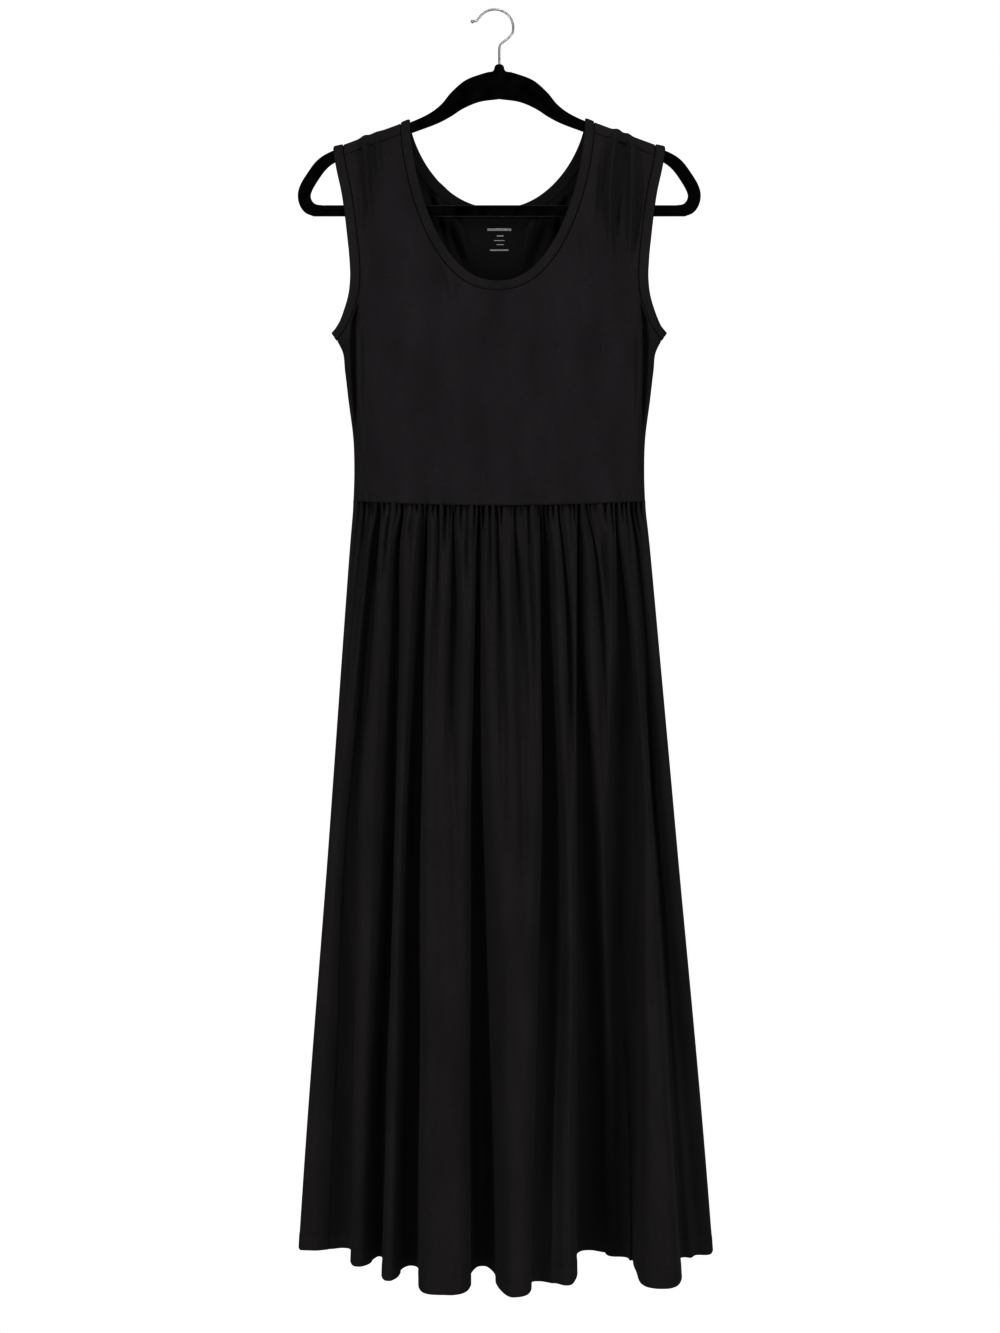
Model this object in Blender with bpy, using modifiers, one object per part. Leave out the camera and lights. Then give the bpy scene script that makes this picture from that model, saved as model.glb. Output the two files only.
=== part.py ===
"""Sleeveless maxi dress hanging on a flat hanger with a wire hook.

The dress is the sewn garment itself: two bodice panels, two gathered skirt panels and three
bindings, each a thin wall of cloth. Sizes are in millimetres. x runs across the garment from
its centre line, depth runs out from the plane of the hanger, and z runs up from the point
inside the crown of the hook that lies on a rail.
"""
import math
from collections import namedtuple

import bpy
import numpy as np

MM = 0.001

# Cloth
WALL = 1.2                  # thickness of a cloth wall
SEAM_GAP = 0.3              # space between two pieces at a seam
ARMHOLE_GAP = 0.55          # the same where the armhole's binding turns under the arm
SIDE_GAP = 0.4              # half the space between the front and back at the side seams
GARMENT_X = 5.4             # the hook's crown stands this far to one side of the centre line

# Hanger
HANGER_THICK = 5.6
HANGER_EDGE = 1.6           # rounding of the hanger's edges
HOOK_WIRE = 3.0             # diameter of the hook's wire
HOOK_BALL = 4.4             # diameter of the ball at the hook's tip
HOOK_CENTRE = (-5.0, -19.0)
HOOK_RADIUS = 20.5

# Shoulders
SHOULDER_X = 98.0           # inner end of the shoulder line
SHOULDER_Z = -121.9
SHOULDER_SLOPE = 0.37
FOLD_RADIUS = 3.8           # radius at which the cloth turns over the hanger's arm
FORWARD_SEAM = 11.0         # the shoulder seam lies this far down the front
FLAP_STEPS = 6              # faces in the turn over the arm
HANGER_CLEAR = 8.0          # the cloth stands clear of the hanger down to this far under it
CREASED_TO = 0.995          # creases stop at this share of the half width

# Neckline and armholes, at the seams where the bindings are sewn on
NECK_SHIFT = -2.0
NECK_HALF = 108.0
NECK_TOP_Z = -126.0
BINDING_WIDTH = 10.6
BINDING_THICK = 2.4
BINDING_EDGE = 0.3          # rounding of its edges
UNDERARM_Z = -366.8
ARMHOLE_ROUND = 50.0        # height over which the armhole turns under the arm
EDGE_INSET = 0.95           # an edge's normal is read this share of the way out to it
UNDERARM_LEAN = math.radians(22.0)  # lean of the binding at the underarm, out from upright

# Waist and skirt
WAIST_HALF = 161.5
WAIST_Z = -551.5            # lowest point of the waist seam, at the centre
WAIST_RISE = 6.5            # the seam rises to the sides by this
HEM_Z = -1372.0             # hem at the side seams
HEM_DROP = 0.068            # the hem falls by this share of its depth
HEM_LEFT = -221.7
HEM_RIGHT = 235.5
HIGH = 0.2                  # share of the skirt's length at which the folds have formed
GATHERS = 48                # on each skirt panel
GATHER_DEPTH = 3.2
WAIST_DEPTH = 31.0          # depth of the waist seam at the centre
SKIRT_ROWS = [0.0, 0.012, 0.035, 0.065, 0.1, 0.145, 0.205, 0.3, 0.43, 0.6, 0.8, 1.0]

# Half width of the bodice panels, down the armhole seam and the side seam
Width = namedtuple("Width", "z half")
BODICE_WIDTHS = [
    Width(-120.0, 177.0), Width(-150.0, 173.5), Width(-175.0, 169.0), Width(-200.0, 163.5),
    Width(-227.0, 159.5), Width(-250.0, 156.8), Width(-276.0, 154.2), Width(-300.0, 153.5),
    Width(-316.0, 155.2), Width(-337.0, 161.5), Width(-353.0, 169.0), Width(UNDERARM_Z, 179.0),
    Width(-377.0, 173.8), Width(-400.0, 170.6), Width(-432.0, 166.8), Width(-477.0, 161.2),
    Width(-515.0, 160.3), Width(-552.0, WAIST_HALF),
]

# Depth of the bodice at its centre, front and back, and of its armhole edge
Depth = namedtuple("Depth", "z front back edge")
BODICE_DEPTHS = [
    Depth(-120.0, 3.8, 3.8, 3.8), Depth(-160.0, 5.6, 5.4, 4.4), Depth(-210.0, 9.0, 8.0, 5.6),
    Depth(-260.0, 14.0, 12.0, 7.4), Depth(-310.0, 20.0, 17.0, 8.8), Depth(-367.0, 27.0, 22.0, 8.8),
    Depth(-440.0, 31.0, 26.0, 8.8), Depth(-552.0, 32.0, 30.0, 8.8),
]

# Necklines: lowest point, the two powers of their scoop, and how many rows of the panel's grid
# lie between the underarm and the lowest point
Scoop = namedtuple("Scoop", "bottom_z power root rows_under")
FRONT_NECK = Scoop(-314.5, 1.6, 2.25, 2)
BACK_NECK = Scoop(-228.0, 1.45, 2.2, 5)

# Grid of half a bodice panel. A row runs from the side edge to the centre line or the neckline.
ROWS_BELOW = 6              # rows under the underarm
ROWS_ABOVE = 16             # rows beside the armhole
BODY_SPREAD = [0.0, 0.015, 0.04, 0.08, 0.125, 0.18, 0.26, 0.37, 0.52, 0.68, 0.84, 1.0]
STRAP_SPREAD = [0.0, 0.07, 0.16, 0.25, 0.34, 0.43, 0.52, 0.61, 0.71, 0.81, 0.905, 1.0]

# Creases in the bodice: a line from top to end, its half width, and how far it rises
Crease = namedtuple("Crease", "x_top z_top x_end z_end half_width rise")
FRONT_CREASES = [
    Crease(-159.5, -345.0, -157.5, -500.0, 5.5, -5.5),
    Crease(158.5, -345.0, 157.0, -500.0, 5.5, -5.5),
    Crease(-152.0, -140.0, -152.0, -245.0, 5.0, -3.0),
    Crease(-143.0, -136.0, -138.0, -200.0, 5.0, 2.0),
    Crease(131.0, -128.0, 124.0, -270.0, 5.0, 3.5),
    Crease(142.0, -136.0, 144.0, -285.0, 4.5, 3.0),
    Crease(115.0, -140.0, 112.0, -240.0, 5.0, -2.0),
]
BACK_CREASES = [
    Crease(-158.0, -352.0, -157.0, -500.0, 4.5, -5.0),
    Crease(159.0, -352.0, 157.5, -500.0, 4.5, -5.0),
    Crease(-128.0, -135.0, -120.0, -260.0, 6.0, 2.5),
    Crease(126.0, -135.0, 118.0, -240.0, 6.0, 2.0),
]

# Folds of a skirt panel, one row each: its left and right edges at the waist seam, where the
# folds have formed, and at the hem, with the depth of its crest and of the dip to its right
Fold = namedtuple("Fold", "waist_l waist_r high_l high_r hem_l hem_r high_crest high_dip crest dip")
FRONT_FOLDS = [
    Fold(-161.5, -146.0, -173.6, -151.0, HEM_LEFT, -188.0, 14, 10, 10, 3),
    Fold(-134.0, -118.0, -139.0, -123.0, -161.5, -139.5, 24, 12, 52, 26),
    Fold(-106.0, -88.0, -109.0, -100.0, -124.5, -105.5, 34, 16, 88, 49),
    Fold(-76.0, -30.0, -81.0, -28.0, -83.5, -31.0, 46, 24, 127, 51),
    Fold(-17.0, 42.5, -19.5, 45.0, -1.0, 32.0, 50, 22, 131, 89),
    Fold(57.0, 79.5, 59.5, 83.0, 54.5, 83.0, 42, 16, 98, 10),
    Fold(91.5, 121.0, 93.0, 124.5, 116.0, 141.0, 31, 10, 24, 22),
    Fold(133.0, 149.0, 146.0, 158.0, 147.0, 194.5, 24, 12, 106, 24),
    Fold(153.5, 161.5, 163.5, 176.7, 213.0, HEM_RIGHT, 15, 0, 26, 0),
]
BACK_FOLDS = [
    Fold(-161.5, -150.0, -173.6, -158.0, HEM_LEFT, -196.0, 13, 8, 16, 8),
    Fold(-138.0, -112.0, -146.0, -120.0, -172.0, -140.0, 26, 12, 62, 30),
    Fold(-100.0, -66.0, -104.0, -68.0, -118.0, -84.0, 38, 17, 96, 44),
    Fold(-54.0, -14.0, -52.0, -10.0, -60.0, -14.0, 46, 22, 118, 58),
    Fold(-2.0, 30.0, 2.0, 34.0, 4.0, 40.0, 48, 23, 124, 62),
    Fold(42.0, 74.0, 48.0, 82.0, 58.0, 96.0, 44, 18, 108, 40),
    Fold(86.0, 116.0, 96.0, 124.0, 114.0, 146.0, 34, 14, 84, 26),
    Fold(128.0, 148.0, 136.0, 158.0, 164.0, 204.0, 24, 9, 52, 8),
    Fold(154.0, 161.5, 167.0, 176.7, 214.0, HEM_RIGHT, 13, 0, 14, 0),
]

# Shallow troughs in the faces of the folds, between two shares of the skirt's length
Trough = namedtuple("Trough", "x_top x_end start end half_width rise")
FRONT_TROUGHS = [
    Trough(-50.0, -46.0, 0.02, 0.60, 5.5, -5.0),
    Trough(-1.0, 3.0, 0.02, 0.27, 5.0, -4.0),
    Trough(18.0, 28.0, 0.03, 0.58, 6.0, -4.5),
    Trough(71.0, 78.0, 0.02, 0.27, 4.5, -4.0),
    Trough(107.0, 116.0, 0.02, 0.30, 5.0, -4.0),
]
BACK_TROUGHS = [
    Trough(-126.0, -132.0, 0.02, 0.40, 5.5, -4.0),
    Trough(-84.0, -88.0, 0.02, 0.55, 6.0, -5.0),
    Trough(-34.0, -32.0, 0.03, 0.30, 5.5, -4.0),
    Trough(58.0, 66.0, 0.02, 0.60, 6.0, -5.0),
    Trough(102.0, 110.0, 0.02, 0.28, 5.0, -4.0),
]

# Outline of the hanger's right half: the outside from the neck to the bar, and the inside
HANGER_OUTSIDE = [
    (5.5, -61.5), (6.0, -65.5), (16.0, -68.6), (37.0, -77.2), (53.0, -90.7), (64.0, -103.9),
    (77.0, -114.0), (98.0, -123.9), (140.0, -139.2), (181.0, -154.2), (201.0, -165.5),
    (215.0, -183.8), (223.4, -204.0), (218.5, -221.0), (206.0, -228.1),
]
HANGER_INSIDE = [
    (0.0, -97.9), (22.0, -101.0), (40.0, -108.4), (54.0, -117.4), (70.0, -125.6), (98.0, -136.0),
    (140.0, -151.5), (172.0, -163.2), (190.0, -173.8), (203.0, -191.0), (209.5, -206.0),
    (206.0, -213.0), (196.0, -216.2),
]

# Centre line of the hook's wire, before and after the round of its crown
HOOK_STEM = [(0.0, -61.2), (0.0, -52.0), (0.0, -43.5), (1.0, -38.6), (4.4, -34.8), (10.0, -30.6)]
HOOK_TIP = [(-24.6, -9.2), (-27.6, -11.0), (-30.4, -12.4)]

Finish = namedtuple("Finish", "colour roughness metallic")
JERSEY = Finish((0.012, 0.011, 0.013, 1.0), 0.78, 0.0)
BINDING = Finish((0.013, 0.012, 0.014, 1.0), 0.75, 0.0)
VELVET = Finish((0.004, 0.004, 0.004, 1.0), 0.95, 0.0)
CHROME = Finish((0.75, 0.75, 0.76, 1.0), 0.18, 1.0)


def smooth_step(low, high, value):
    """0 below low, 1 above high, and an S curve between them."""
    t = np.clip((value - low) / (high - low), 0.0, 1.0)
    return t * t * (3.0 - 2.0 * t)


def read_table(rows, column, z):
    """A column of a table that is ordered by falling z, read smoothly at z."""
    zs = [row.z for row in rows][::-1]
    values = [getattr(row, column) for row in rows][::-1]
    slopes = np.gradient(values, zs)
    z = min(max(z, zs[0]), zs[-1])
    i = min(int(np.searchsorted(zs, z, side="right")) - 1, len(zs) - 2)
    span = zs[i + 1] - zs[i]
    t = (z - zs[i]) / span
    rise = 3 * t**2 - 2 * t**3
    lean_in = (t - 2 * t**2 + t**3) * span * slopes[i]
    lean_out = (t**3 - t**2) * span * slopes[i + 1]
    return values[i] + (values[i + 1] - values[i]) * rise + lean_in + lean_out


def smooth_path(points, steps):
    """Points along a rounded line through the given ones."""
    pts = np.array(points, dtype=float)
    before = 2 * pts[0] - pts[1]
    after = 2 * pts[-1] - pts[-2]
    pts = np.vstack([before, pts, after])
    path = []
    for i in range(1, len(pts) - 2):
        a, b, c, d = pts[i - 1:i + 3]
        for t in np.arange(steps) / steps:
            path.append(0.5 * (2 * b + (c - a) * t + (2 * a - 5 * b + 4 * c - d) * t**2
                               + (3 * b - a - 3 * c + d) * t**3))
    path.append(pts[-2])
    return path


# ---------------------------------------------------------------- bodice

def half_width(z):
    """Half the width of a bodice panel, straight between its two seams at the underarm."""
    above = [row for row in BODICE_WIDTHS if row.z >= UNDERARM_Z]
    below = [row for row in BODICE_WIDTHS if row.z <= UNDERARM_Z]
    return read_table(above if z >= UNDERARM_Z else below, "half", z)


def shoulder_z(x):
    return SHOULDER_Z - SHOULDER_SLOPE * (max(abs(x), SHOULDER_X) - SHOULDER_X)


def crease_rise(creases, x, z):
    """How far the creases lift the cloth at a point."""
    total = 0.0
    for crease in creases:
        along = (z - crease.z_top) / (crease.z_end - crease.z_top)
        if 0.0 < along < 1.0:
            centre = crease.x_top + (crease.x_end - crease.x_top) * along
            across = (x - centre) / crease.half_width
            fade = smooth_step(0.0, 0.15, along) * smooth_step(1.0, 0.6, along)
            total += crease.rise * fade * math.exp(-across * across)
    return total


def bodice_depth(column, creases, x, z):
    """Depth of a bodice panel. Below the underarm it closes at the side seams."""
    share = min(abs(x) / half_width(z), 1.0)
    flatter = smooth_step(UNDERARM_Z, UNDERARM_Z + 1.4 * ARMHOLE_ROUND, z)
    to_round = np.clip((UNDERARM_Z + ARMHOLE_ROUND - z) / ARMHOLE_ROUND, 0.0, 1.0)
    edge = SIDE_GAP + (read_table(BODICE_DEPTHS, "edge", z) - SIDE_GAP) * math.sqrt(1.0 - to_round**2)
    middle = read_table(BODICE_DEPTHS, column, z)
    depth = edge + (middle - edge) * max(0.0, 1.0 - share**2.6) ** (0.5 + 0.6 * flatter)
    if share < CREASED_TO:
        depth += crease_rise(creases, x, z)
    below = shoulder_z(x) - z
    depth = FOLD_RADIUS + (depth - FOLD_RADIUS) * smooth_step(FORWARD_SEAM, 5 * FORWARD_SEAM, below)
    beside_hanger = z > HANGER_OUTSIDE[-1][1] - HANGER_CLEAR
    return max(depth, FOLD_RADIUS if beside_hanger else SIDE_GAP)


def neck_half(scoop, z):
    """Half the width of a neckline at a height, at the binding's seam."""
    t = np.clip((z - scoop.bottom_z) / (NECK_TOP_Z - scoop.bottom_z), 0.0, 1.0)
    return NECK_HALF * (1.0 - (1.0 - t)**scoop.power) ** (1.0 / scoop.root)


def waist_z(x):
    return WAIST_Z + WAIST_RISE * (x / WAIST_HALF) ** 2


def side_edge(side, seam_drop):
    """Points up the side seam and the armhole."""
    top = SHOULDER_Z
    for _ in range(8):
        top = shoulder_z(half_width(top)) - seam_drop
    foot = waist_z(WAIST_HALF) + SEAM_GAP
    heights = [foot + (UNDERARM_Z - foot) * i / ROWS_BELOW for i in range(ROWS_BELOW)]
    heights += [UNDERARM_Z + (top - UNDERARM_Z) * (i / ROWS_ABOVE) ** 1.25 for i in range(ROWS_ABOVE + 1)]
    return [(side * half_width(z), z) for z in heights]


def inner_edge(scoop, side, seam_drop):
    """Points up the centre line and the neckline."""
    foot = waist_z(NECK_SHIFT) + SEAM_GAP
    rows = ROWS_BELOW + scoop.rows_under
    points = [(NECK_SHIFT, foot + (scoop.bottom_z - foot) * i / rows) for i in range(rows)]
    top = shoulder_z(NECK_SHIFT + side * NECK_HALF) - seam_drop
    steps = ROWS_ABOVE - scoop.rows_under
    for i in range(steps + 1):
        z = scoop.bottom_z + (top - scoop.bottom_z) * (i / steps) ** 2
        points.append((NECK_SHIFT + side * neck_half(scoop, z), z))
    return points


def bodice_normal(column, x, z, facing):
    """Outward normal of the plain panel, without its creases or the turn at its very edge."""
    share = x / half_width(z)
    inner = share * EDGE_INSET if abs(share) > 0.9 else share
    step = 0.01

    def at(s, height):
        x = s * half_width(height)
        return np.array((x, -facing * bodice_depth(column, [], x, height), height))

    across = at(inner + step, z) - at(inner - step, z)
    up = at(inner, z + 1.0) - at(inner, z)
    normal = np.cross(across, up) * facing
    return normal / np.linalg.norm(normal)


def bodice_half(scoop, column, creases, facing, side, seam_drop):
    """Grid of points of half a bodice panel, with the outward normals at its two edges."""
    grid, side_normals, inner_normals = [], [], []
    edges = zip(side_edge(side, seam_drop), inner_edge(scoop, side, seam_drop))
    for number, ((x0, z0), (x1, z1)) in enumerate(edges):
        on_strap = smooth_step(ROWS_BELOW, ROWS_BELOW + scoop.rows_under + 3, number)
        near_waist = max(0.0, 1.0 - number / ROWS_BELOW)
        line = []
        for body, strap in zip(BODY_SPREAD, STRAP_SPREAD):
            along = body + (strap - body) * on_strap
            x = x0 + (x1 - x0) * along
            z = z0 + (z1 - z0) * along
            straight = waist_z(x0) + (waist_z(x1) - waist_z(x0)) * along
            z += (waist_z(x) - straight) * near_waist
            line.append((x, -facing * bodice_depth(column, creases, x, z), z))
        grid.append(line)
        side_normals.append(bodice_normal(column, x0, z0, facing))
        inner_normals.append(bodice_normal(column, x1, z1, facing))
    return np.array(grid), side_normals, inner_normals


def shoulder_flap(creases, back_top, front_top):
    """Rows of the back panel that turn over the hanger's arm and end at the forward seam."""
    rows, side_normals, inner_normals = [], [], []
    lean = math.atan(SHOULDER_SLOPE) * math.copysign(1.0, back_top[0][0])
    for step in range(1, FLAP_STEPS + 2):
        share = min(step, FLAP_STEPS) / FLAP_STEPS
        angle = math.pi * share
        row = []
        for behind, before in zip(back_top, front_top):
            x = behind[0] + (before[0] - behind[0]) * share
            lift = max(0.0, crease_rise(creases, x, shoulder_z(x) - FORWARD_SEAM)) * math.sin(angle)
            z = shoulder_z(x) - FOLD_RADIUS + (FOLD_RADIUS + 0.6 * lift) * math.sin(angle)
            if step > FLAP_STEPS:
                z = shoulder_z(x) - FORWARD_SEAM + SEAM_GAP
            row.append((x, FOLD_RADIUS * math.cos(angle), z))
        rows.append(row)
        normal = np.array((math.sin(lean) * math.sin(angle), math.cos(angle),
                           math.cos(lean) * math.sin(angle)))
        side_normals.append(normal)
        inner_normals.append(normal)
    return np.array(rows), side_normals, inner_normals


# ---------------------------------------------------------------- skirt

def skirt_segments(folds):
    """Folds and the dips between them, each with its edges and its crest, in order."""
    Segment = namedtuple("Segment", "waist high hem high_ends ends high_peak peak power")
    segments = []
    for i, fold in enumerate(folds):
        last = folds[i - 1] if i else None
        after = folds[i + 1] if i + 1 < len(folds) else None
        high_ends = (0.5 * (fold.high_crest + last.high_dip) if last else SIDE_GAP,
                     0.5 * (fold.high_crest + fold.high_dip) if after else SIDE_GAP)
        ends = (0.5 * (fold.crest + last.dip) if last else SIDE_GAP,
                0.5 * (fold.crest + fold.dip) if after else SIDE_GAP)
        segments.append(Segment((fold.waist_l, fold.waist_r), (fold.high_l, fold.high_r),
                                (fold.hem_l, fold.hem_r), high_ends, ends,
                                fold.high_crest, fold.crest, 2.7))
        if after:
            next_high = 0.5 * (after.high_crest + fold.high_dip)
            next_end = 0.5 * (after.crest + fold.dip)
            segments.append(Segment((fold.waist_r, after.waist_l), (fold.high_r, after.high_l),
                                    (fold.hem_r, after.hem_l), (high_ends[1], next_high),
                                    (ends[1], next_end), fold.high_dip, fold.dip, 2.3))
    return segments


def meander(edges, ends, peak, power, t):
    """A point on the rounded hump between two edges: its place across and its depth."""
    cosine, sine = -math.cos(math.pi * t), math.sin(math.pi * t)
    across = math.copysign(abs(cosine) ** (2.0 / power), cosine)
    x = 0.5 * (edges[0] + edges[1]) + 0.5 * (edges[1] - edges[0]) * across
    base = 0.5 * (ends[0] + ends[1]) + 0.5 * (ends[1] - ends[0]) * across
    return x, base + (peak - base) * max(sine, 0.0) ** (2.0 / power)


def skirt_point(segments, troughs, share, down, phase):
    """Place across and depth of a skirt panel: share of the waist seam, share of the length."""
    waist_x = WAIST_HALF * (2.0 * share - 1.0)
    inside = [seg for seg in segments if seg.waist[0] <= waist_x <= seg.waist[1]]
    segment = inside[0] if inside else segments[-1]
    t = np.clip((waist_x - segment.waist[0]) / (segment.waist[1] - segment.waist[0]), 0.0, 1.0)
    high = meander(segment.high, segment.high_ends, segment.high_peak, segment.power, t)
    hem = meander(segment.hem, segment.ends, segment.peak, segment.power, t)
    run = (down - HIGH) / (1.0 - HIGH)
    formed = smooth_step(0.0, HIGH, down)
    waist_depth = SIDE_GAP + WAIST_DEPTH * max(0.0, 1.0 - (waist_x / WAIST_HALF) ** 2) ** 0.5
    x = waist_x * (1.0 - formed) + (high[0] + (hem[0] - high[0]) * run) * formed
    depth = waist_depth * (1.0 - formed) + (high[1] + (hem[1] - high[1]) * run) * formed
    for trough in troughs:
        along = (down - trough.start) / (trough.end - trough.start)
        if 0.0 < along < 1.0:
            centre = trough.x_top + (trough.x_end - trough.x_top) * along
            across = (x - centre) / trough.half_width
            fade = smooth_step(0.0, 0.2, along) * smooth_step(1.0, 0.5, along)
            depth += trough.rise * fade * math.exp(-across * across)
    depth += gather_depth(share, down, phase, 0.2 if segment.power < 2.5 else 1.0)
    return x, max(depth, SIDE_GAP)


def gather_depth(share, down, phase, hold):
    """The small gathers under the waist seam, uneven in depth and in length."""
    number = share * GATHERS
    uneven = 0.72 + 0.28 * math.sin(2.4 * number + phase) * math.sin(0.9 * number)
    reach = 0.085 + 0.045 * math.sin(1.7 * number + 2.0 * phase)
    start = 0.5 + 0.5 * smooth_step(0.0, 0.014, down)
    fade = math.exp(-(down / reach) ** 2)
    side = smooth_step(0.0, 2.0 / GATHERS, share) * smooth_step(1.0, 1.0 - 2.0 / GATHERS, share)
    hold = 1.0 + (hold - 1.0) * smooth_step(0.0, 0.6 * HIGH, down)
    return GATHER_DEPTH * uneven * start * fade * side * hold * math.cos(2 * math.pi * number)


def skirt_grid(folds, troughs, facing, phase):
    """Grid of points of a skirt panel, from the waist seam down to the hem."""
    segments = skirt_segments(folds)
    grid = []
    for down in SKIRT_ROWS:
        row = []
        for i in range(2 * GATHERS + 1):
            share = i / (2.0 * GATHERS)
            x, depth = skirt_point(segments, troughs, share, down, phase)
            top = waist_z(WAIST_HALF * (2.0 * share - 1.0)) - SEAM_GAP
            bottom = HEM_Z - HEM_DROP * depth
            row.append((x, -facing * depth, top + (bottom - top) * down))
        grid.append(row)
    return np.array(grid)


# ---------------------------------------------------------------- Blender objects

def material(name, finish):
    made = bpy.data.materials.new(name)
    made.use_nodes = True
    shader = made.node_tree.nodes["Principled BSDF"]
    shader.inputs["Base Color"].default_value = finish.colour
    shader.inputs["Roughness"].default_value = finish.roughness
    shader.inputs["Metallic"].default_value = finish.metallic
    return made


def add_object(name, data, finish, root, collection):
    data.materials.append(material(name, finish))
    made = bpy.data.objects.new(name, data)
    collection.objects.link(made)
    made.parent = root
    return made


def shell(name, vertices, faces, finish, root, collection):
    """A cloth wall made from an open surface."""
    mesh = bpy.data.meshes.new(name)
    mesh.from_pydata([tuple(MM * c for c in v) for v in vertices], [], faces)
    mesh.shade_smooth()
    mesh.set_sharp_from_angle(angle=math.radians(40.0))
    made = add_object(name, mesh, finish, root, collection)
    wall = made.modifiers.new("wall", "SOLIDIFY")
    wall.thickness = WALL * MM
    wall.offset = 0.0
    wall.use_even_offset = True
    return made


def grid_faces(numbers, flip):
    """Faces between the points of a grid, given the number of each point in the mesh."""
    faces = []
    for lower, upper in zip(numbers, numbers[1:]):
        for c in range(len(lower) - 1):
            quad = (lower[c], lower[c + 1], upper[c + 1], upper[c])
            faces.append(quad[::-1] if flip else quad)
    return faces


def bodice_panel(name, scoop, halves, facing, finish, root, collection):
    """The two halves of a panel, joined down the centre line under the neckline."""
    joined = ROWS_BELOW + scoop.rows_under
    vertices, faces, centre = [], [], []
    for side, grid in halves:
        numbers = []
        for r, line in enumerate(grid):
            row = list(range(len(vertices), len(vertices) + len(line)))
            vertices.extend(tuple(p) for p in line)
            if r <= joined and len(centre) > r:
                vertices.pop()
                row[-1] = centre[r]
            elif r <= joined:
                centre.append(row[-1])
            numbers.append(row)
        faces += grid_faces(numbers, side * facing > 0)
    return shell(name, vertices, faces, finish, root, collection)


def skirt_panel(name, grid, facing, finish, root, collection):
    rows, columns = grid.shape[:2]
    numbers = [list(range(r * columns, (r + 1) * columns)) for r in range(rows)]
    return shell(name, [tuple(p) for p in grid.reshape(-1, 3)], grid_faces(numbers, facing > 0),
                 finish, root, collection)


def binding(name, edge, gap, finish, root, collection, flip):
    """A closed strip sewn along a closed edge, standing proud of the panels' outside.

    Each station of the edge is a point and the panel's outward normal there.
    """
    near, far = gap, gap + BINDING_WIDTH
    inner = -0.5 * WALL
    outer = inner + BINDING_THICK
    section = [(near, inner), (far, inner + BINDING_EDGE), (far + BINDING_EDGE, 0.5 * (inner + outer)),
               (far, outer - BINDING_EDGE), (0.5 * (near + far), outer), (near, outer - BINDING_EDGE)]
    edge, normals = (np.array(values) for values in zip(*edge))
    step = np.roll(edge, -1, axis=0) - edge
    step /= np.linalg.norm(step, axis=1)[:, None]
    ahead = step + np.roll(step, 1, axis=0)
    ahead /= np.linalg.norm(ahead, axis=1)[:, None]
    away = np.cross(normals, ahead) * (-1.0 if flip else 1.0)
    away /= np.linalg.norm(away, axis=1)[:, None]
    up = np.cross(ahead, away) * (-1.0 if flip else 1.0)
    vertices = []
    for point, out, lift in zip(edge, away, up):
        vertices += [tuple(MM * c for c in point + out * across + lift * height)
                     for across, height in section]
    count, sides = len(edge), len(section)
    faces = []
    for r in range(count):
        for s in range(sides):
            quad = (r * sides + s, r * sides + (s + 1) % sides,
                    (r + 1) % count * sides + (s + 1) % sides, (r + 1) % count * sides + s)
            faces.append(quad[::-1] if flip else quad)
    mesh = bpy.data.meshes.new(name)
    mesh.from_pydata(vertices, [], faces)
    mesh.shade_smooth()
    mesh.set_sharp_from_angle(angle=math.radians(50.0))
    return add_object(name, mesh, finish, root, collection)


def wire(name, points, radii, finish, root, collection):
    curve = bpy.data.curves.new(name, "CURVE")
    curve.dimensions = "3D"
    curve.bevel_depth = MM
    curve.bevel_resolution = 1
    curve.use_fill_caps = True
    spline = curve.splines.new("POLY")
    spline.points.add(len(points) - 1)
    for point, (x, z), radius in zip(spline.points, points, radii):
        point.co = (MM * x, 0.0, MM * z, 1.0)
        point.radius = radius
    return add_object(name, curve, finish, root, collection)


def flat_outline(name, outlines, thickness, edge, finish, root, collection):
    """A flat plate with rounded edges, standing upright, from closed outlines."""
    curve = bpy.data.curves.new(name, "CURVE")
    curve.dimensions = "2D"
    curve.fill_mode = "BOTH"
    curve.extrude = MM * (0.5 * thickness - edge)
    curve.bevel_depth = MM * edge
    curve.bevel_resolution = 1
    curve.offset = -MM * edge
    for outline in outlines:
        spline = curve.splines.new("POLY")
        spline.use_cyclic_u = True
        spline.points.add(len(outline) - 1)
        for point, (x, z) in zip(spline.points, outline):
            point.co = (MM * x, MM * z, 0.0, 1.0)
    made = add_object(name, curve, finish, root, collection)
    made.rotation_euler = (0.5 * math.pi, 0.0, 0.0)
    return made


def mirrored_loop(half, steps):
    """A closed outline from its right half."""
    right = [tuple(p) for p in smooth_path(half, steps)]
    left = [(-x, z) for x, z in reversed(right) if x > 0.01]
    return right + left


# ---------------------------------------------------------------- the parts

def make_hanger(root, collection):
    outside = mirrored_loop(HANGER_OUTSIDE, 2)
    inside = mirrored_loop(HANGER_INSIDE, 2)
    flat_outline("hanger_body", [outside, inside], HANGER_THICK, HANGER_EDGE, VELVET, root, collection)
    cx, cz = HOOK_CENTRE
    crown = [(cx + HOOK_RADIUS * math.cos(math.radians(a)), cz + HOOK_RADIUS * math.sin(math.radians(a)))
             for a in range(-18, 151, 12)]
    route = [tuple(p) for p in smooth_path(HOOK_STEM + crown + HOOK_TIP, 2)]
    radii = [0.5 * HOOK_WIRE] * len(route)
    end_x, end_z = route[-1]
    for angle in (20.0, 55.0, 90.0, 125.0, 160.0):
        turn = math.radians(angle)
        route.append((end_x - HOOK_BALL * (0.5 - 0.5 * math.cos(turn)), end_z - 0.2))
        radii.append(max(0.5 * HOOK_BALL * math.sin(turn), 0.3))
    wire("hanger_hook", route, radii, CHROME, root, collection)


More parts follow.
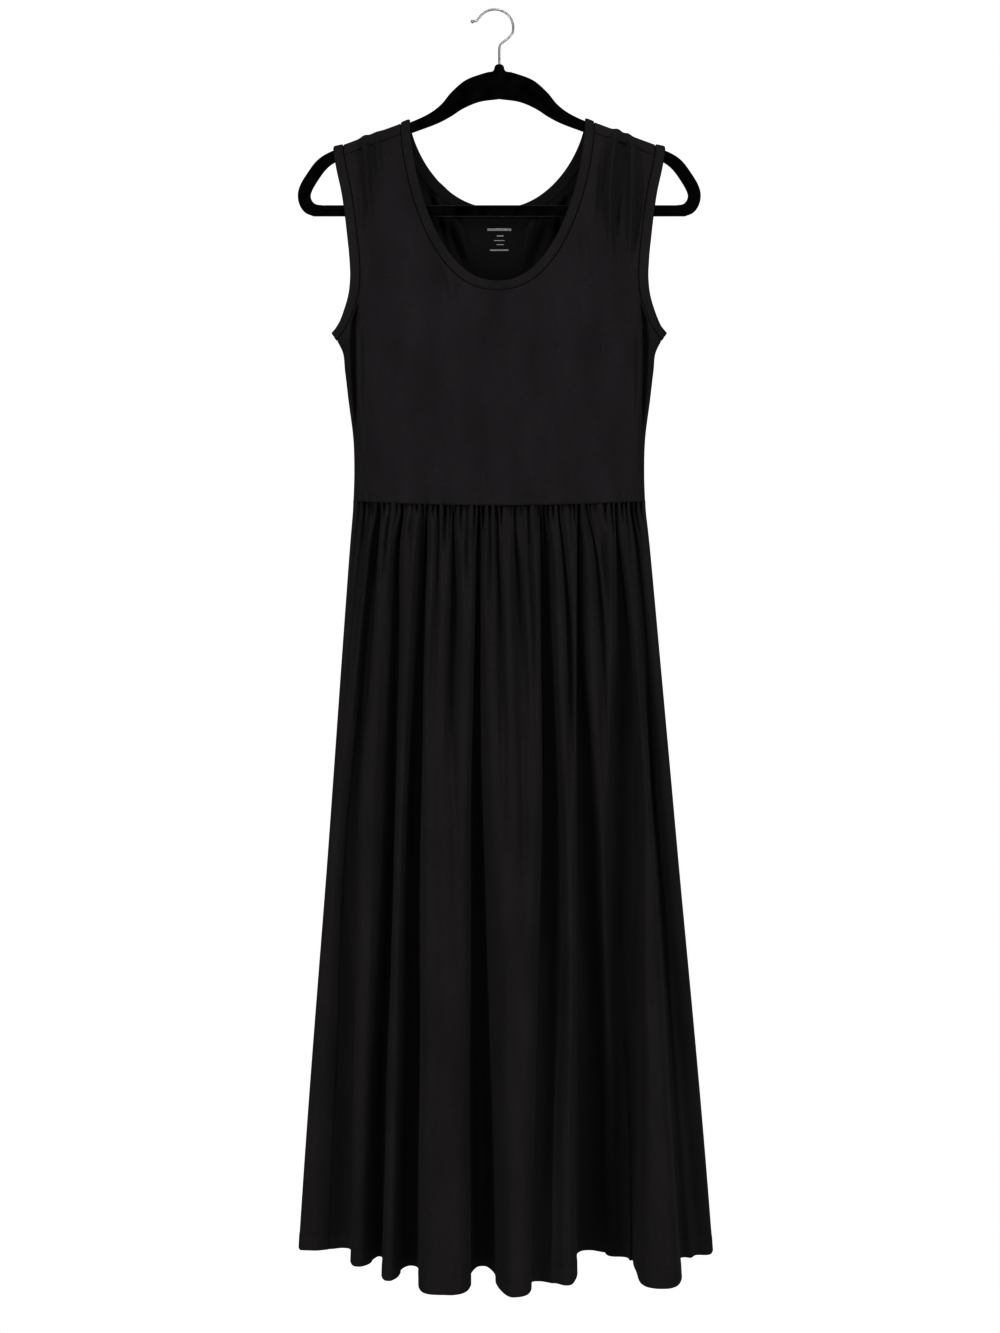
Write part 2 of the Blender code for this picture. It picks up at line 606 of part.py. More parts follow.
def make_dress(root, collection):
    top, flat, flap = {}, {}, {}
    for side in (-1, 1):
        top[side] = bodice_half(FRONT_NECK, "front", FRONT_CREASES, 1, side, FORWARD_SEAM)
        flat[side] = bodice_half(BACK_NECK, "back", BACK_CREASES, -1, side, FOLD_RADIUS)
        flap[side] = shoulder_flap(FRONT_CREASES, flat[side][0][-1], top[side][0][-1])
    bodice_panel("bodice_front", FRONT_NECK, [(side, top[side][0]) for side in (-1, 1)], 1,
                 JERSEY, root, collection)
    bodice_panel("bodice_back", BACK_NECK,
                 [(side, np.vstack([flat[side][0], flap[side][0]])) for side in (-1, 1)], -1,
                 JERSEY, root, collection)
    skirt_panel("skirt_front", skirt_grid(FRONT_FOLDS, FRONT_TROUGHS, 1, 0.0), 1, JERSEY, root, collection)
    skirt_panel("skirt_back", skirt_grid(BACK_FOLDS, BACK_TROUGHS, -1, 1.3), -1, JERSEY, root, collection)

    front_rows = range(ROWS_BELOW + FRONT_NECK.rows_under, ROWS_BELOW + ROWS_ABOVE + 1)
    back_rows = range(ROWS_BELOW + BACK_NECK.rows_under, ROWS_BELOW + ROWS_ABOVE + 1)
    turn = range(FLAP_STEPS)
    route = [(top[-1], reversed(front_rows)), (top[1], front_rows[1:]), (flap[1], reversed(turn)),
             (flat[1], reversed(back_rows)), (flat[-1], back_rows[1:]), (flap[-1], turn)]
    edge = [(half[0][r][-1], half[2][r]) for half, rows in route for r in rows]
    binding("neck_binding", edge, SEAM_GAP, BINDING, root, collection, False)

    rows = range(ROWS_BELOW + 1, ROWS_BELOW + ROWS_ABOVE + 1)
    for name, side in (("armhole_binding_left", -1), ("armhole_binding_right", 1)):
        corner = top[side][0][ROWS_BELOW][0] * (1.0, 0.0, 1.0)
        corner_normal = np.array((side * math.cos(UNDERARM_LEAN), 0.0, -math.sin(UNDERARM_LEAN)))
        route = [(top[side], rows), (flap[side], reversed(turn)), (flat[side], reversed(rows))]
        edge = [(corner, corner_normal)]
        edge += [(half[0][r][0], half[1][r]) for half, rows_used in route for r in rows_used]
        binding(name, edge, ARMHOLE_GAP, BINDING, root, collection, side > 0)


def main():
    for thing in list(bpy.data.objects):
        bpy.data.objects.remove(thing, do_unlink=True)
    collection = bpy.data.collections.new("maxi_dress_on_hanger")
    bpy.context.scene.collection.children.link(collection)
    root = bpy.data.objects.new("centre_line", None)
    root.location = (GARMENT_X * MM, 0.0, 0.0)
    collection.objects.link(root)
    make_hanger(root, collection)
    make_dress(root, collection)


main()
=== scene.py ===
"""Looks of a sleeveless maxi dress on a velvet hanger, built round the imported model.

Each cloth piece is a thin shell on the form of its CAD solid, with the creases, gathers, hem and
stitches that the solid leaves out. Lengths are in millimetres in the garment's own frame: x runs
across from its centre line, depth runs out from the plane of the hanger, and z runs up from the
inside of the hook's crown. They are turned into metres in the row frame as each mesh is made.
"""
import math
from collections import namedtuple

import bpy
import numpy as np
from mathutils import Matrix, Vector


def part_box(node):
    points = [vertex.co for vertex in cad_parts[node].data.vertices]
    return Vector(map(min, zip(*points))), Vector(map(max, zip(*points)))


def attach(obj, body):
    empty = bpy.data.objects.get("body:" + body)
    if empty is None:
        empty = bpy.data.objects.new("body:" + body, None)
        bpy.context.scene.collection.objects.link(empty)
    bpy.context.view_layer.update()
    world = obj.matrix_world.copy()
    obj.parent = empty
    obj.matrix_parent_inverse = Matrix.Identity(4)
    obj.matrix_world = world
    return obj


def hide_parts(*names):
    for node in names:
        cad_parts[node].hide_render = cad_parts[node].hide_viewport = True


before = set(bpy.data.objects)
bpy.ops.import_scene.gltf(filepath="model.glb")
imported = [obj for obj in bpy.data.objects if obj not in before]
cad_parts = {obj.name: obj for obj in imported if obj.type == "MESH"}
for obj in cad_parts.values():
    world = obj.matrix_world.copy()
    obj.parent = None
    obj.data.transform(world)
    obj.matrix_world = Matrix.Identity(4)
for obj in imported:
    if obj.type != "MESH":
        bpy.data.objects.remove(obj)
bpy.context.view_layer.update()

MM = 0.001
ROOT = "root"
SEAM_LOW, SEAM_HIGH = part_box("bodice_front")
GARMENT_X = 0.5 * (SEAM_LOW.x + SEAM_HIGH.x) / MM   # centre line of the garment
DETAIL = 1

# Photograph
PIXEL = 1.1097                  # millimetres a pixel at the hanger
CAMERA_DISTANCE = 2000.0
PICTURE = (1000, 1333)
HOOK_PIXEL = (494.4, 10.7)      # where the row frame's origin lies in the photograph
SENSOR = 36.0

# Cloth
WALL = 0.9
PROUD = 0.6                     # half the wall of the CAD solids
SIDE_GAP = 0.4
SEAM_GAP = 0.004                # half the gap that is left where the panels are sewn together
LEAST_OVER_HANGER = 3.4         # the cloth stays this far from the plane of the hanger
PANEL_ROUND = 2.6               # how square a bodice panel is across
STRAP_ROUND = 0.6               # and how much rounder at the straps
HELD = 0.25                     # share of a crease that is left where the neck's binding holds it
HELD_WIDTH = 10.0
LOOSE_FROM, LOOSE_BELOW = 20.0, 120.0   # the cloth is uneven from here, under the shoulder

# Shoulders
SHOULDER_X = 98.0
SHOULDER_Z = -121.9
SHOULDER_SLOPE = 0.37
FOLD_RADIUS = 3.8
FORWARD_SEAM = 11.0             # the shoulder seam lies this far down the front
SEAM_DIP = 0.45                 # the front panel dips under the back's edge there
FLAP_UNDER = 0.8                # and the back's edge reaches this far past the seam
FLAP_OVER = 0.5                 # on top of the front panel
BAR_Z = -228.1                  # underside of the hanger's bar
HANGER_CLEAR = 8.0

# Neckline, armholes and waist, at the seams
NECK_SHIFT = -2.0
NECK_HALF = 108.0
NECK_TOP_Z = -126.0
UNDERARM_Z = -366.8
ARMHOLE_ROUND = 50.0
EDGE_INSET = 0.95
UNDERARM_LEAN = math.radians(22.0)
WAIST_HALF = 161.5
WAIST_Z = -551.5
WAIST_RISE = 6.5

# Bindings
BINDING_WIDTH = 10.6
BINDING_THICK = 2.4
BINDING_STITCH = 1.9            # the stitch line lies this far from the seam
STITCH_POINT = 17               # and is this point of the binding's outline
INSIDE_POINTS = 7               # the outline's first faces lie inside the garment
NECK_GAP = 0.3                  # between the edge of the panel and the binding
ARMHOLE_GAP = 0.55
EDGE_FOOT = -0.3

# Hem
HEM_Z = -1372.0
HEM_DROP = 0.068
SKIRT_LENGTH = 826.0
HEM_STITCHES = (15.2, 18.2)     # heights of the twin-needle lines above the edge
HEM_TURN = 19.6                 # height of the turned-up hem inside
HEM_ROWS = (20.2, 18.8, 18.2, 17.6, 16.7, 15.8, 15.2, 14.6, 13.0, 9.0, 4.5, 1.2, 0.0)
INSIDE_ROWS = (1.2, 7.0, 13.0, HEM_TURN)
HEM_PROUD = 0.32                # the turned-up cloth lifts the outer face this far
HEM_INSIDE = -1.15              # and lies this far inside it
HEM_EDGE_IN = 0.5
STITCH_DIP = 0.42
STITCH_DIP_HALF = 0.55
PUCKER = 0.22
PUCKER_TURN = 4.3
PUCKER_HALF = 6.0

# Waist seam
SEAM_FOOT = 0.5                 # the bodice ends this far below the seam
SEAM_BULGE = 0.25
SKIRT_IN = 0.8                  # the skirt starts this far inside the bodice
SKIRT_UP = 1.2                  # and this far above the seam
PUFF = 2.4                      # rise of the cloth between the gathers
PUFF_STARTS = (0.0005, 0.0022)  # shares of the skirt's length
PUFF_REACH = 0.03

# Threads: distance between stitches, their length and their thickness
Thread = namedtuple("Thread", "pitch length thick")
BINDING_THREAD = Thread(3.0, 2.3, 0.55)
HEM_THREAD = Thread(3.2, 2.4, 0.5)
THREAD_SIDES = 5
THREAD_SHARES = np.array([-0.5, -0.3, 0.3, 0.5])        # stations along a stitch
THREAD_GIRTHS = np.array([0.25, 1.0, 1.0, 0.25])
THREAD_SINKS = np.array([-0.22, 0.0, 0.0, -0.22])       # its ends go into the cloth
THREAD_LIFT = 0.12

# Unevenness of the cloth: its rise, and the sizes of its waves across and down
Waves = namedtuple("Waves", "rise across down")
BODICE_WAVES = (Waves(0.28, 34, 120), Waves(0.22, 13, 40))
SEAM_PUCKERS = Waves(0.8, 5, 40)
SKIRT_SWAY = Waves(0.8, 55, 260)
SKIRT_WAVES = (Waves(0.8, 42, 240), Waves(0.25, 16, 60))
PUFF_WAVES = Waves(0.7, 5, 1)
HEM_PUCKERS = Waves(1.3, 25, 1)
BINDING_WAVES = (Waves(0.10, 7, 1), Waves(0.12, 26, 1))


def table(kind, *rows):
    """Rows of a table with named columns."""
    return [kind(*row) for row in rows]


def both_sides(path, *form):
    """Two creases that mirror each other at the centre line."""
    return (path, *form), ([(-x, z) for x, z in path], *form)


Width = namedtuple("Width", "z half")
BODICE_WIDTHS = table(Width,
    (-120, 177), (-150, 173.5), (-175, 169), (-200, 163.5), (-227, 159.5), (-250, 156.8), (-276, 154.2),
    (-300, 153.5), (-316, 155.2), (-337, 161.5), (-353, 169), (UNDERARM_Z, 179), (-377, 173.8),
    (-400, 170.6), (-432, 166.8), (-477, 161.2), (-515, 160.3), (-552, WAIST_HALF),
)

Depth = namedtuple("Depth", "z front back edge")
BODICE_DEPTHS = table(Depth,
    (-120, 3.8, 3.8, 3.8), (-160, 5.6, 5.4, 4.4), (-210, 9, 8, 5.6), (-260, 14, 12, 7.4),
    (-310, 20, 17, 8.8), (-367, 27, 22, 8.8), (-440, 31, 26, 8.8), (-552, 32, 30, 8.8),
)

# Necklines: lowest point, the powers of the scoop, and the share of the rows beside the armhole
# that lie under the lowest point
Scoop = namedtuple("Scoop", "bottom_z power root under")
FRONT_NECK = Scoop(-314.5, 1.6, 2.25, 0.125)
BACK_NECK = Scoop(-228, 1.45, 2.2, 0.3125)

# Rows of a bodice panel under and beside the armhole, in the cloth and along the bindings
Rows = namedtuple("Rows", "below above")
CLOTH_ROWS = Rows(64 // DETAIL, 96 // DETAIL)
EDGE_ROWS = Rows(18, 48)
BODICE_COLUMNS = 72 // DETAIL
FLAP_ROWS = 14
FLAP_STRAIGHT = 5
EDGE_FLAP_ROWS = 6

# Creases of the bodice from the top down: points (x, z), half width, rise, and the share of the
# length over which the crease comes in
Crease = namedtuple("Crease", "path half_width rise fade_in")
FRONT_CREASES = table(Crease,
    # under the arms
    *both_sides([(-159, -318), (-160.2, -352), (-159.8, -400), (-158, -450), (-156.6, -500)], 2.6, -22, 0.1),
    *both_sides([(-154.6, -335), (-153.8, -420), (-151.5, -520)], 3.8, 8.5, 0.25),
    # left strap
    ([(-156.5, -140), (-153.6, -166), (-153.2, -200), (-152.6, -224), (-152, -262)], 3, -9, 0.2),
    ([(-150.2, -130), (-148.5, -160), (-145, -200), (-141, -250)], 3.6, 8, 0.02),
    ([(-144, -136), (-141.5, -158), (-138, -190)], 2.4, -3, 0.1),
    ([(-137, -136), (-134, -160), (-129, -215)], 3.6, 3.6, 0.02),
    ([(-129.5, -138), (-126.5, -178)], 3, -2.2, 0.1),
    # right strap
    ([(119.5, -146), (115, -188), (111.7, -215), (109, -262)], 4.6, -8, 0.2),
    ([(130.6, -128), (126.2, -155), (121.7, -199), (122.4, -246), (124.5, -300)], 3.6, 12, 0.02),
    ([(135.6, -136), (136.5, -171), (131.2, -210), (129.4, -244), (131.7, -285)], 3.2, -9, 0.1),
    ([(142.5, -132), (146.1, -155), (146.1, -199), (143.9, -266), (142, -300)], 3.6, 11, 0.02),
    ([(156.5, -172), (153.2, -221), (149, -266), (147.8, -300)], 3, -10, 0.2),
    # folds that run down from the neckline
    ([(-70, -268), (-64, -296), (-55, -340)], 4.6, -3, 0.15),
    ([(-61, -276), (-54, -304), (-44, -350)], 4.8, 2.4, 0.15),
    ([(-51.5, -288), (-46, -310), (-38, -346)], 4.2, -2.6, 0.15),
    ([(83, -250), (86, -272), (88.5, -300)], 4.4, -1.5, 0.3),
    ([(93, -246), (96, -280), (99, -320)], 5, 3.2, 0.05),
    ([(30, -318), (33, -350), (35, -400)], 5.5, -1.3, 0.3),
    # soft vertical drag across the body
    ([(-118, -300), (-112, -380), (-108, -470)], 10, -1, 0.3),
    ([(-92, -330), (-90, -420), (-91, -545)], 8, 0.9, 0.3),
    ([(-40, -360), (-38, -450), (-37, -548)], 9, -0.9, 0.3),
    ([(20, -400), (17, -480), (15, -548)], 8, 0.8, 0.3),
    ([(62, -380), (64, -470), (62, -548)], 9, -0.9, 0.3),
    ([(112, -290), (110, -380), (106, -500)], 10, -1, 0.3),
    ([(134, -330), (131, -420), (128, -540)], 8, 1, 0.3),
)
BACK_CREASES = table(Crease,
    *both_sides([(-161.5, -325), (-163, -356), (-162, -400), (-159, -450), (-157.5, -515)], 3.8, -7.5, 0.1),
    ([(-146, -140), (-142, -200), (-138, -290)], 4.6, 3.4, 0.05),
    ([(-134, -140), (-128, -190), (-122, -270)], 5, -2.8, 0.1),
    ([(-120, -136), (-113, -180), (-104, -240)], 5, 2.4, 0.05),
    ([(141, -140), (138, -200), (136, -280)], 4.4, 3.2, 0.05),
    ([(129, -140), (124, -190), (117, -270)], 5.2, -3, 0.1),
    ([(118, -136), (112, -180), (106, -230)], 5, 2, 0.05),
    ([(-66, -218), (-55, -240), (-38, -290)], 4.4, 11, 0.4),
    ([(-52, -224), (-42, -245), (-30, -290)], 3.6, -10, 0.1),
    ([(58, -220), (48, -242), (34, -300)], 4.4, 10.5, 0.4),
    ([(40, -226), (31, -250), (22, -300)], 3.8, -9, 0.1),
    ([(-80, -190), (-66, -232), (-54, -280)], 3.8, 10, 0.1),
    ([(-74, -190), (-59, -232), (-47, -280)], 3.4, -9, 0.1),
    ([(-98, -160), (-87, -190), (-76, -225)], 3.6, 2.8, 0.3),
    ([(98, -150), (87, -185), (76, -225)], 3.6, 2.8, 0.3),
    ([(76, -200), (66, -240), (58, -290)], 3.6, 9, 0.1),
    ([(-112, -300), (-106, -390), (-104, -500)], 9, -2, 0.3),
    ([(-70, -320), (-68, -420), (-72, -545)], 9, 1.6, 0.3),
    ([(-18, -300), (-14, -420), (-16, -546)], 9, -1.6, 0.3),
    ([(40, -330), (42, -430), (39, -546)], 9, 1.5, 0.3),
    ([(88, -300), (86, -400), (84, -530)], 9, -1.8, 0.3),
    ([(126, -320), (124, -420), (122, -530)], 9, 1.8, 0.3),
)

# Bodice panels: column of depths, neckline, creases, the way each faces, how far its shoulder edge
# lies below the top of the shoulder, and the seed of its unevenness
Panel = namedtuple("Panel", "column scoop creases facing drop seed")
FRONT = Panel("front", FRONT_NECK, FRONT_CREASES, 1, FORWARD_SEAM, 5)
BACK = Panel("back", BACK_NECK, BACK_CREASES, -1, FOLD_RADIUS, 9)

# Ridges where the cloth turns over the hanger's arm
Tuck = namedtuple("Tuck", "x half_width lift")
SHOULDER_TUCKS = table(Tuck,
    (-149.5, 4.6, 2), (-136.5, 6, 0.9), (131.5, 4.4, 2.3), (142.8, 4, 1.6),
)

# Skirt: levels down its length, and the edges of the valleys between its folds at each level
LEVELS = [0, 0.016, 0.06, 0.17, 0.45, 1]
SIDE_LEFT = [-161.5, -161.6, -164.6, -171.4, -188, -221.7]
SIDE_RIGHT = [161.5, 162, 166, 174.4, 195.4, 235.5]
Valley = namedtuple("Valley", "seam high upper middle hem")
VALLEY_CLOSING = [0.5, 0.35, 0.1, 0, 0]     # share by which the gathers close the valleys there
FRONT_VALLEYS = table(Valley,
    ((-132.5, -128.5), (-137.5, -131.5), (-147.5, -137), (-169.5, -153), (-188, -161.5)),
    ((-108.5, -103.5), (-114.5, -108), (-117.5, -109), (-125, -113.5), (-139.5, -124.5)),
    ((-82.5, -77.5), (-84, -77.5), (-89.5, -80.5), (-101.5, -84.5), (-105.5, -83.5)),
    ((-53.5, -47.5), (-54, -47), (-55, -43.5), (-50, -41), (-54, -46)),
    ((-25.5, -19), (-27, -18.5), (-27, -19.5), (-31.5, -16.5), (-31, -1)),
    ((-3.5, 1), (-3, 1.5), (-3.5, 6), (-1.5, 7), (4, 10)),
    ((15, 18.5), (15.5, 19.5), (16.5, 26.5), (21, 33), (18, 26)),
    ((41, 53.5), (42, 55.5), (44, 58), (44, 65.5), (32, 54.5)),
    ((63, 67.5), (67, 71.5), (72.5, 79.5), (75, 81.5), (66, 72)),
    ((84, 88.5), (84, 89.5), (84, 91), (83.5, 105), (83, 116)),
    ((95, 99), (102, 107.5), (107.5, 116.5), (111.5, 118), (124, 130)),
    ((125.5, 130), (127, 134), (126.5, 145), (121.5, 153.5), (141, 147)),
    ((144, 148.5), (148.5, 154), (153.5, 162.5), (168.5, 176), (194.5, 213)),
)
BACK_VALLEYS = table(Valley,
    ((-146, -141), (-149, -143), (-157, -147), (-175, -158), (-196, -172)),
    ((-127.5, -124.5), (-129, -126), (-132, -128.5), (-141, -138), (-157, -153)),
    ((-109, -103), (-111.5, -105), (-119, -107), (-127, -111), (-140, -118)),
    ((-86, -82.5), (-86.5, -83), (-88, -84), (-93, -88.5), (-102, -98)),
    ((-63, -57), (-63.5, -56.5), (-67, -54), (-74, -56), (-84, -60)),
    ((-35.5, -32), (-35, -31.5), (-34.5, -30.5), (-35, -31), (-38, -33)),
    ((-11, -5), (-11, -4), (-10.5, 0), (-12, 2), (-14, 4)),
    ((32.5, 38.5), (33, 40), (34, 46), (36.5, 51), (40, 58)),
    ((58, 61), (59.5, 63), (62, 66), (67, 71), (75, 79)),
    ((77.5, 83), (79, 86), (82, 94), (88, 103), (96, 114)),
    ((102, 105), (103.5, 107), (107, 111), (114, 118), (127, 131)),
    ((119, 124.5), (121, 127), (124, 134.5), (133, 148), (146, 164)),
    ((146, 150.5), (149.5, 154.5), (157, 165), (176, 186), (204, 214)),
)

# Depth of each fold's crest and of each valley's floor at the same levels, left to right
Heights = namedtuple("Heights", "seam high upper middle hem")
FRONT_CRESTS = table(Heights,
    (17, 18, 15, 12.7, 10), (26.5, 30, 29, 33, 54), (31, 36, 38, 53, 91), (34, 40, 45, 68, 128),
    (35, 42, 48, 70, 128), (35, 43, 49, 74, 131), (35, 43.5, 50, 76, 131), (35, 43, 49, 73, 129),
    (34, 40, 45, 62, 102), (33, 38, 42, 57, 98), (31, 35, 37, 33, 22), (28, 31, 32, 30, 26),
    (21, 24, 26, 50, 112), (11, 12, 13.5, 18.4, 21),
)
FRONT_FLOORS = table(Heights,
    (10, 5, 2, 1, 1), (16, 9, 6, 5, 25), (18, 12, 9, 9, 50), (20, 19, 26, 60, 126), (20, 14, 12, 14, 52),
    (26, 31, 40, 71, 128), (29, 35, 44, 70, 130), (18, 10, 8, 24, 92), (22, 22, 28, 50, 96),
    (17, 12, 9, 7, 8), (20, 21, 22, 20, 17), (13, 8, 4, 6, 36), (8, 7, 6, 8, 27),
)
BACK_CRESTS = table(Heights,
    (16, 17, 14, 14, 16), (25, 28, 27, 38, 60), (27, 30, 30, 42, 62), (31, 36, 38, 56, 94),
    (32, 38, 40, 58, 96), (33, 41, 46, 70, 114), (34, 42, 47, 72, 118), (34, 43, 49, 75, 124),
    (32, 40, 45, 68, 108), (31, 38, 43, 64, 104), (29, 34, 37, 54, 84), (26, 31, 33, 50, 80),
    (19, 23, 24, 34, 52), (10, 12, 13, 13.5, 14),
)
BACK_FLOORS = table(Heights,
    (11, 6, 4, 5, 8), (22, 24, 22, 34, 58), (19, 14, 13, 18, 30), (26, 29, 32, 50, 92),
    (24, 20, 20, 28, 44), (28, 34, 40, 64, 112), (26, 24, 26, 38, 58), (26, 24, 26, 40, 62),
    (27, 32, 37, 60, 102), (22, 20, 21, 28, 40), (23, 26, 29, 46, 79), (18, 14, 14, 18, 26),
    (9, 8, 7, 8, 8),
)

# How square every fold and valley is at its left and its right, in turn from the left
Sides = namedtuple("Sides", "left right")
FRONT_SIDES = table(Sides,
    (3, 1.4), (1.6, 2.9), (3.2, 1.5), (1.7, 2.9), (3.2, 1.5), (1.7, 2.9), (3.2, 1.8), (1.8, 1.8),
    (1.8, 3), (2.9, 1.7), (1.9, 2.2), (2, 2), (2.2, 2.2), (2, 1.8), (1.8, 3), (2.9, 1.7), (1.5, 2.2),
    (2, 2), (2.2, 3.2), (2.9, 1.7), (1.7, 2), (1.8, 1.8), (2, 1.6), (1.6, 2.9), (2.4, 2.3), (2.8, 1.7),
    (1.7, 3),
)
BACK_SIDES = table(Sides,
    (3, 1.5), (1.7, 2.8), (3, 2.2), (2, 2), (2.2, 1.5), (1.7, 2.8), (3, 2.2), (2, 2), (2.2, 1.6),
    (1.7, 2.8), (3, 2.2), (2, 2), (2.2, 2.8), (2.8, 1.8), (1.7, 2.8), (2.8, 1.8), (1.6, 2.2), (2, 2),
    (2.2, 3), (2.8, 1.7), (1.5, 2.2), (2, 2), (2.2, 3), (2.8, 1.7), (1.5, 2.8), (2.8, 1.7), (1.6, 3),
)

# Folds that have joined by the middle of the skirt: first and last of each run of folds
FRONT_JOINED = [(3, 4), (5, 7), (8, 9), (10, 11)]
BACK_JOINED = [(1, 2), (10, 11)]
JOINED_FROM = 4                 # the level, counted from the seam, where they have joined

# Short gathers under the waist seam: x at the seam, x at the lower end, share of the length where
# it starts and ends, half width and rise
Gather = namedtuple("Gather", "x_top x_end start end half_width rise")
FRONT_GATHERS = table(Gather,
    (-149, -152.5, 0, 0.075, 2.4, -5), (-123.5, -124, 0, 0.05, 2.2, -4.5),
    (-98.8, -99.5, 0, 0.05, 2.2, -4.5), (-77, -76, 0, 0.035, 2, -3.5), (-68, -67, 0, 0.03, 2, -3),
    (-59, -64, 0, 0.075, 2.3, -5), (-37, -36, 0, 0.11, 2.4, -5), (-17, -20, 0, 0.10, 2.2, -6),
    (-11, -11, 0, 0.03, 2, -3), (11.4, 11, 0, 0.055, 2.2, -4.5), (31.3, 34, 0, 0.07, 2.3, -5),
    (47.4, 49, 0.004, 0.11, 1.9, 7), (57.5, 58.5, 0, 0.04, 2, -3.5), (75, 77, 0, 0.04, 2, -3.5),
    (114.6, 119, 0, 0.07, 2.4, -5), (139.5, 142, 0, 0.04, 2, -4),
)
BACK_GATHERS = table(Gather,
    (-152, -154, 0, 0.05, 2.2, -4), (-134, -136, 0, 0.07, 2.3, -5), (-117, -119, 0, 0.04, 2.1, -4),
    (-96, -96, 0, 0.08, 2.4, -5), (-74, -75, 0, 0.05, 2.2, -4.5), (-47, -46, 0, 0.09, 2.4, -5),
    (-22, -22, 0, 0.06, 2.2, -4.5), (10, 12, 0, 0.10, 2.4, -5), (22, 23, 0, 0.05, 2.2, -4),
    (48, 49, 0, 0.08, 2.4, -5), (69, 71, 0, 0.05, 2.2, -4.5), (92, 94, 0, 0.09, 2.4, -5),
    (111, 113, 0, 0.05, 2.2, -4), (134, 137, 0, 0.07, 2.3, -5),
)

# Long soft troughs and ridges in the faces of the folds
FRONT_SWAGS = table(Gather,
    (-152, -172, 0.05, 0.75, 5, 2.2), (-66, -70, 0.12, 1, 6, -1.8), (-124, -143, 0.10, 0.80, 4, -1.5),
    (-95, -112, 0.10, 0.90, 4.5, -1.6), (-50, -46, 0.20, 0.60, 5, -4), (1.5, 4, 0.20, 0.50, 3.5, -2.5),
    (22, 28, 0.20, 0.65, 5, -4.5), (76, 79, 0.20, 0.50, 4, -3), (160, 172, 0.40, 1.02, 7, -1.5),
)
BACK_SWAGS = table(Gather,
    (-153, -185, 0.10, 0.90, 5, 1.8), (-98, -128, 0.10, 0.95, 5, -2), (-46, -52, 0.15, 0.90, 5.5, -1.8),
    (16, 22, 0.20, 1.02, 6, 2), (70, 90, 0.15, 0.90, 5, -1.8), (140, 182, 0.25, 1.02, 6, 2),
)

Skirt = namedtuple("Skirt", "valleys crests floors sides joined gathers swags panel seed")
FRONT_SKIRT = Skirt(FRONT_VALLEYS, FRONT_CRESTS, FRONT_FLOORS, FRONT_SIDES, FRONT_JOINED, FRONT_GATHERS,
                    FRONT_SWAGS, FRONT, 100)
BACK_SKIRT = Skirt(BACK_VALLEYS, BACK_CRESTS, BACK_FLOORS, BACK_SIDES, BACK_JOINED, BACK_GATHERS,
                   BACK_SWAGS, BACK, 200)

SKIRT_COLUMNS = 600 // DETAIL
GATHER_PITCH = 5.6
GATHER_REACH = 0.13             # usual length of the short gathers, as a share of the skirt's
GATHER_WIDTHS = (1.3, 2.0)
GATHER_DEPTHS = (6.5, 12.5)
GATHER_LENGTHS = (0.025, 0.4)
GATHER_SPREAD = 0.7
GATHER_WIDENS = 1.5             # a short gather is this much wider again
GATHER_WIDE_AT = 0.12           # this far down
SKIRT_TOP_ROWS = 24 // DETAIL   # rows in the first share of the length
SKIRT_TOP_SHARE = 0.07
SKIRT_MIDDLE_ROWS = 30 // DETAIL
HEM_FROM = 25.0                 # the hem's closer rows start this far above its edge

# Hanger and hook
HANGER_THICK = 5.6
HANGER_EDGE = 2.4
HANGER_OUTSIDE = [
    (0, -59.6), (3, -60.2), (5, -62.4), (5.8, -65.6), (8, -67.8), (16, -69.4), (37, -77.2), (53, -90.7),
    (64, -103.9), (77, -114), (98, -123.9), (140, -139.2), (181, -154.2), (201, -165.5), (215, -183.8),
    (221.4, -195.5), (223.4, -205.5), (221.3, -215.8), (215.3, -224), (206, BAR_Z),
]
HANGER_INSIDE = [
    (0, -97.9), (22, -101), (40, -108.4), (54, -117.4), (70, -125.6), (98, -136), (140, -151.5),
    (172, -163.2), (190, -173.8), (203, -191), (209, -203), (208.3, -210.3), (203.8, -214.9), (196, -216.2),
]
HOOK_WIRE = 2.4
HOOK_BALL = 3.8
HOOK_CENTRE = (-5, -19)
HOOK_RADIUS = 20.5
HOOK_STEM = [(0, -62.5), (0, -52), (0, -43.5), (1, -38.6), (4.4, -34.8), (10, -30.6)]
HOOK_TIP = [(-24.2, -10.3), (-26, -11.3), (-27.8, -11.9)]

# Plain bars where the neck print is: centre x, z, width and height
Bar = namedtuple("Bar", "x z width height")
PRINT_BARS = table(Bar,
    (0, -240.5, 27, 3), (1, -247.5, 8, 1.6), (0, -252.5, 12, 1.2), (1, -257, 8, 1.2), (0, -263, 21, 1.8),
)
PRINT_ROWS = 3
PRINT_COLUMNS = 13
PRINT_LIFTS = (0.1, -0.12)      # the bars' two faces, from the cloth's inner one

# Jersey: the tones of its right side and of its wrong side, and its knit in metres. The wrong side's tones,
# and the binding's, are darker copies of the right side's: painted shade
OUTSIDE_TONES = ((0.0067, 0.0062, 0.0066), (0.0129, 0.0119, 0.0127))
SHADED_INSIDE_TONES = ((0.0042, 0.0040, 0.0041), (0.0078, 0.0074, 0.0075))
SHADED_BINDING_INSIDE_TONES = ((0.0043, 0.0040, 0.0043), (0.0081, 0.0075, 0.0080))
WALE = 0.0007
COURSE = 0.0008

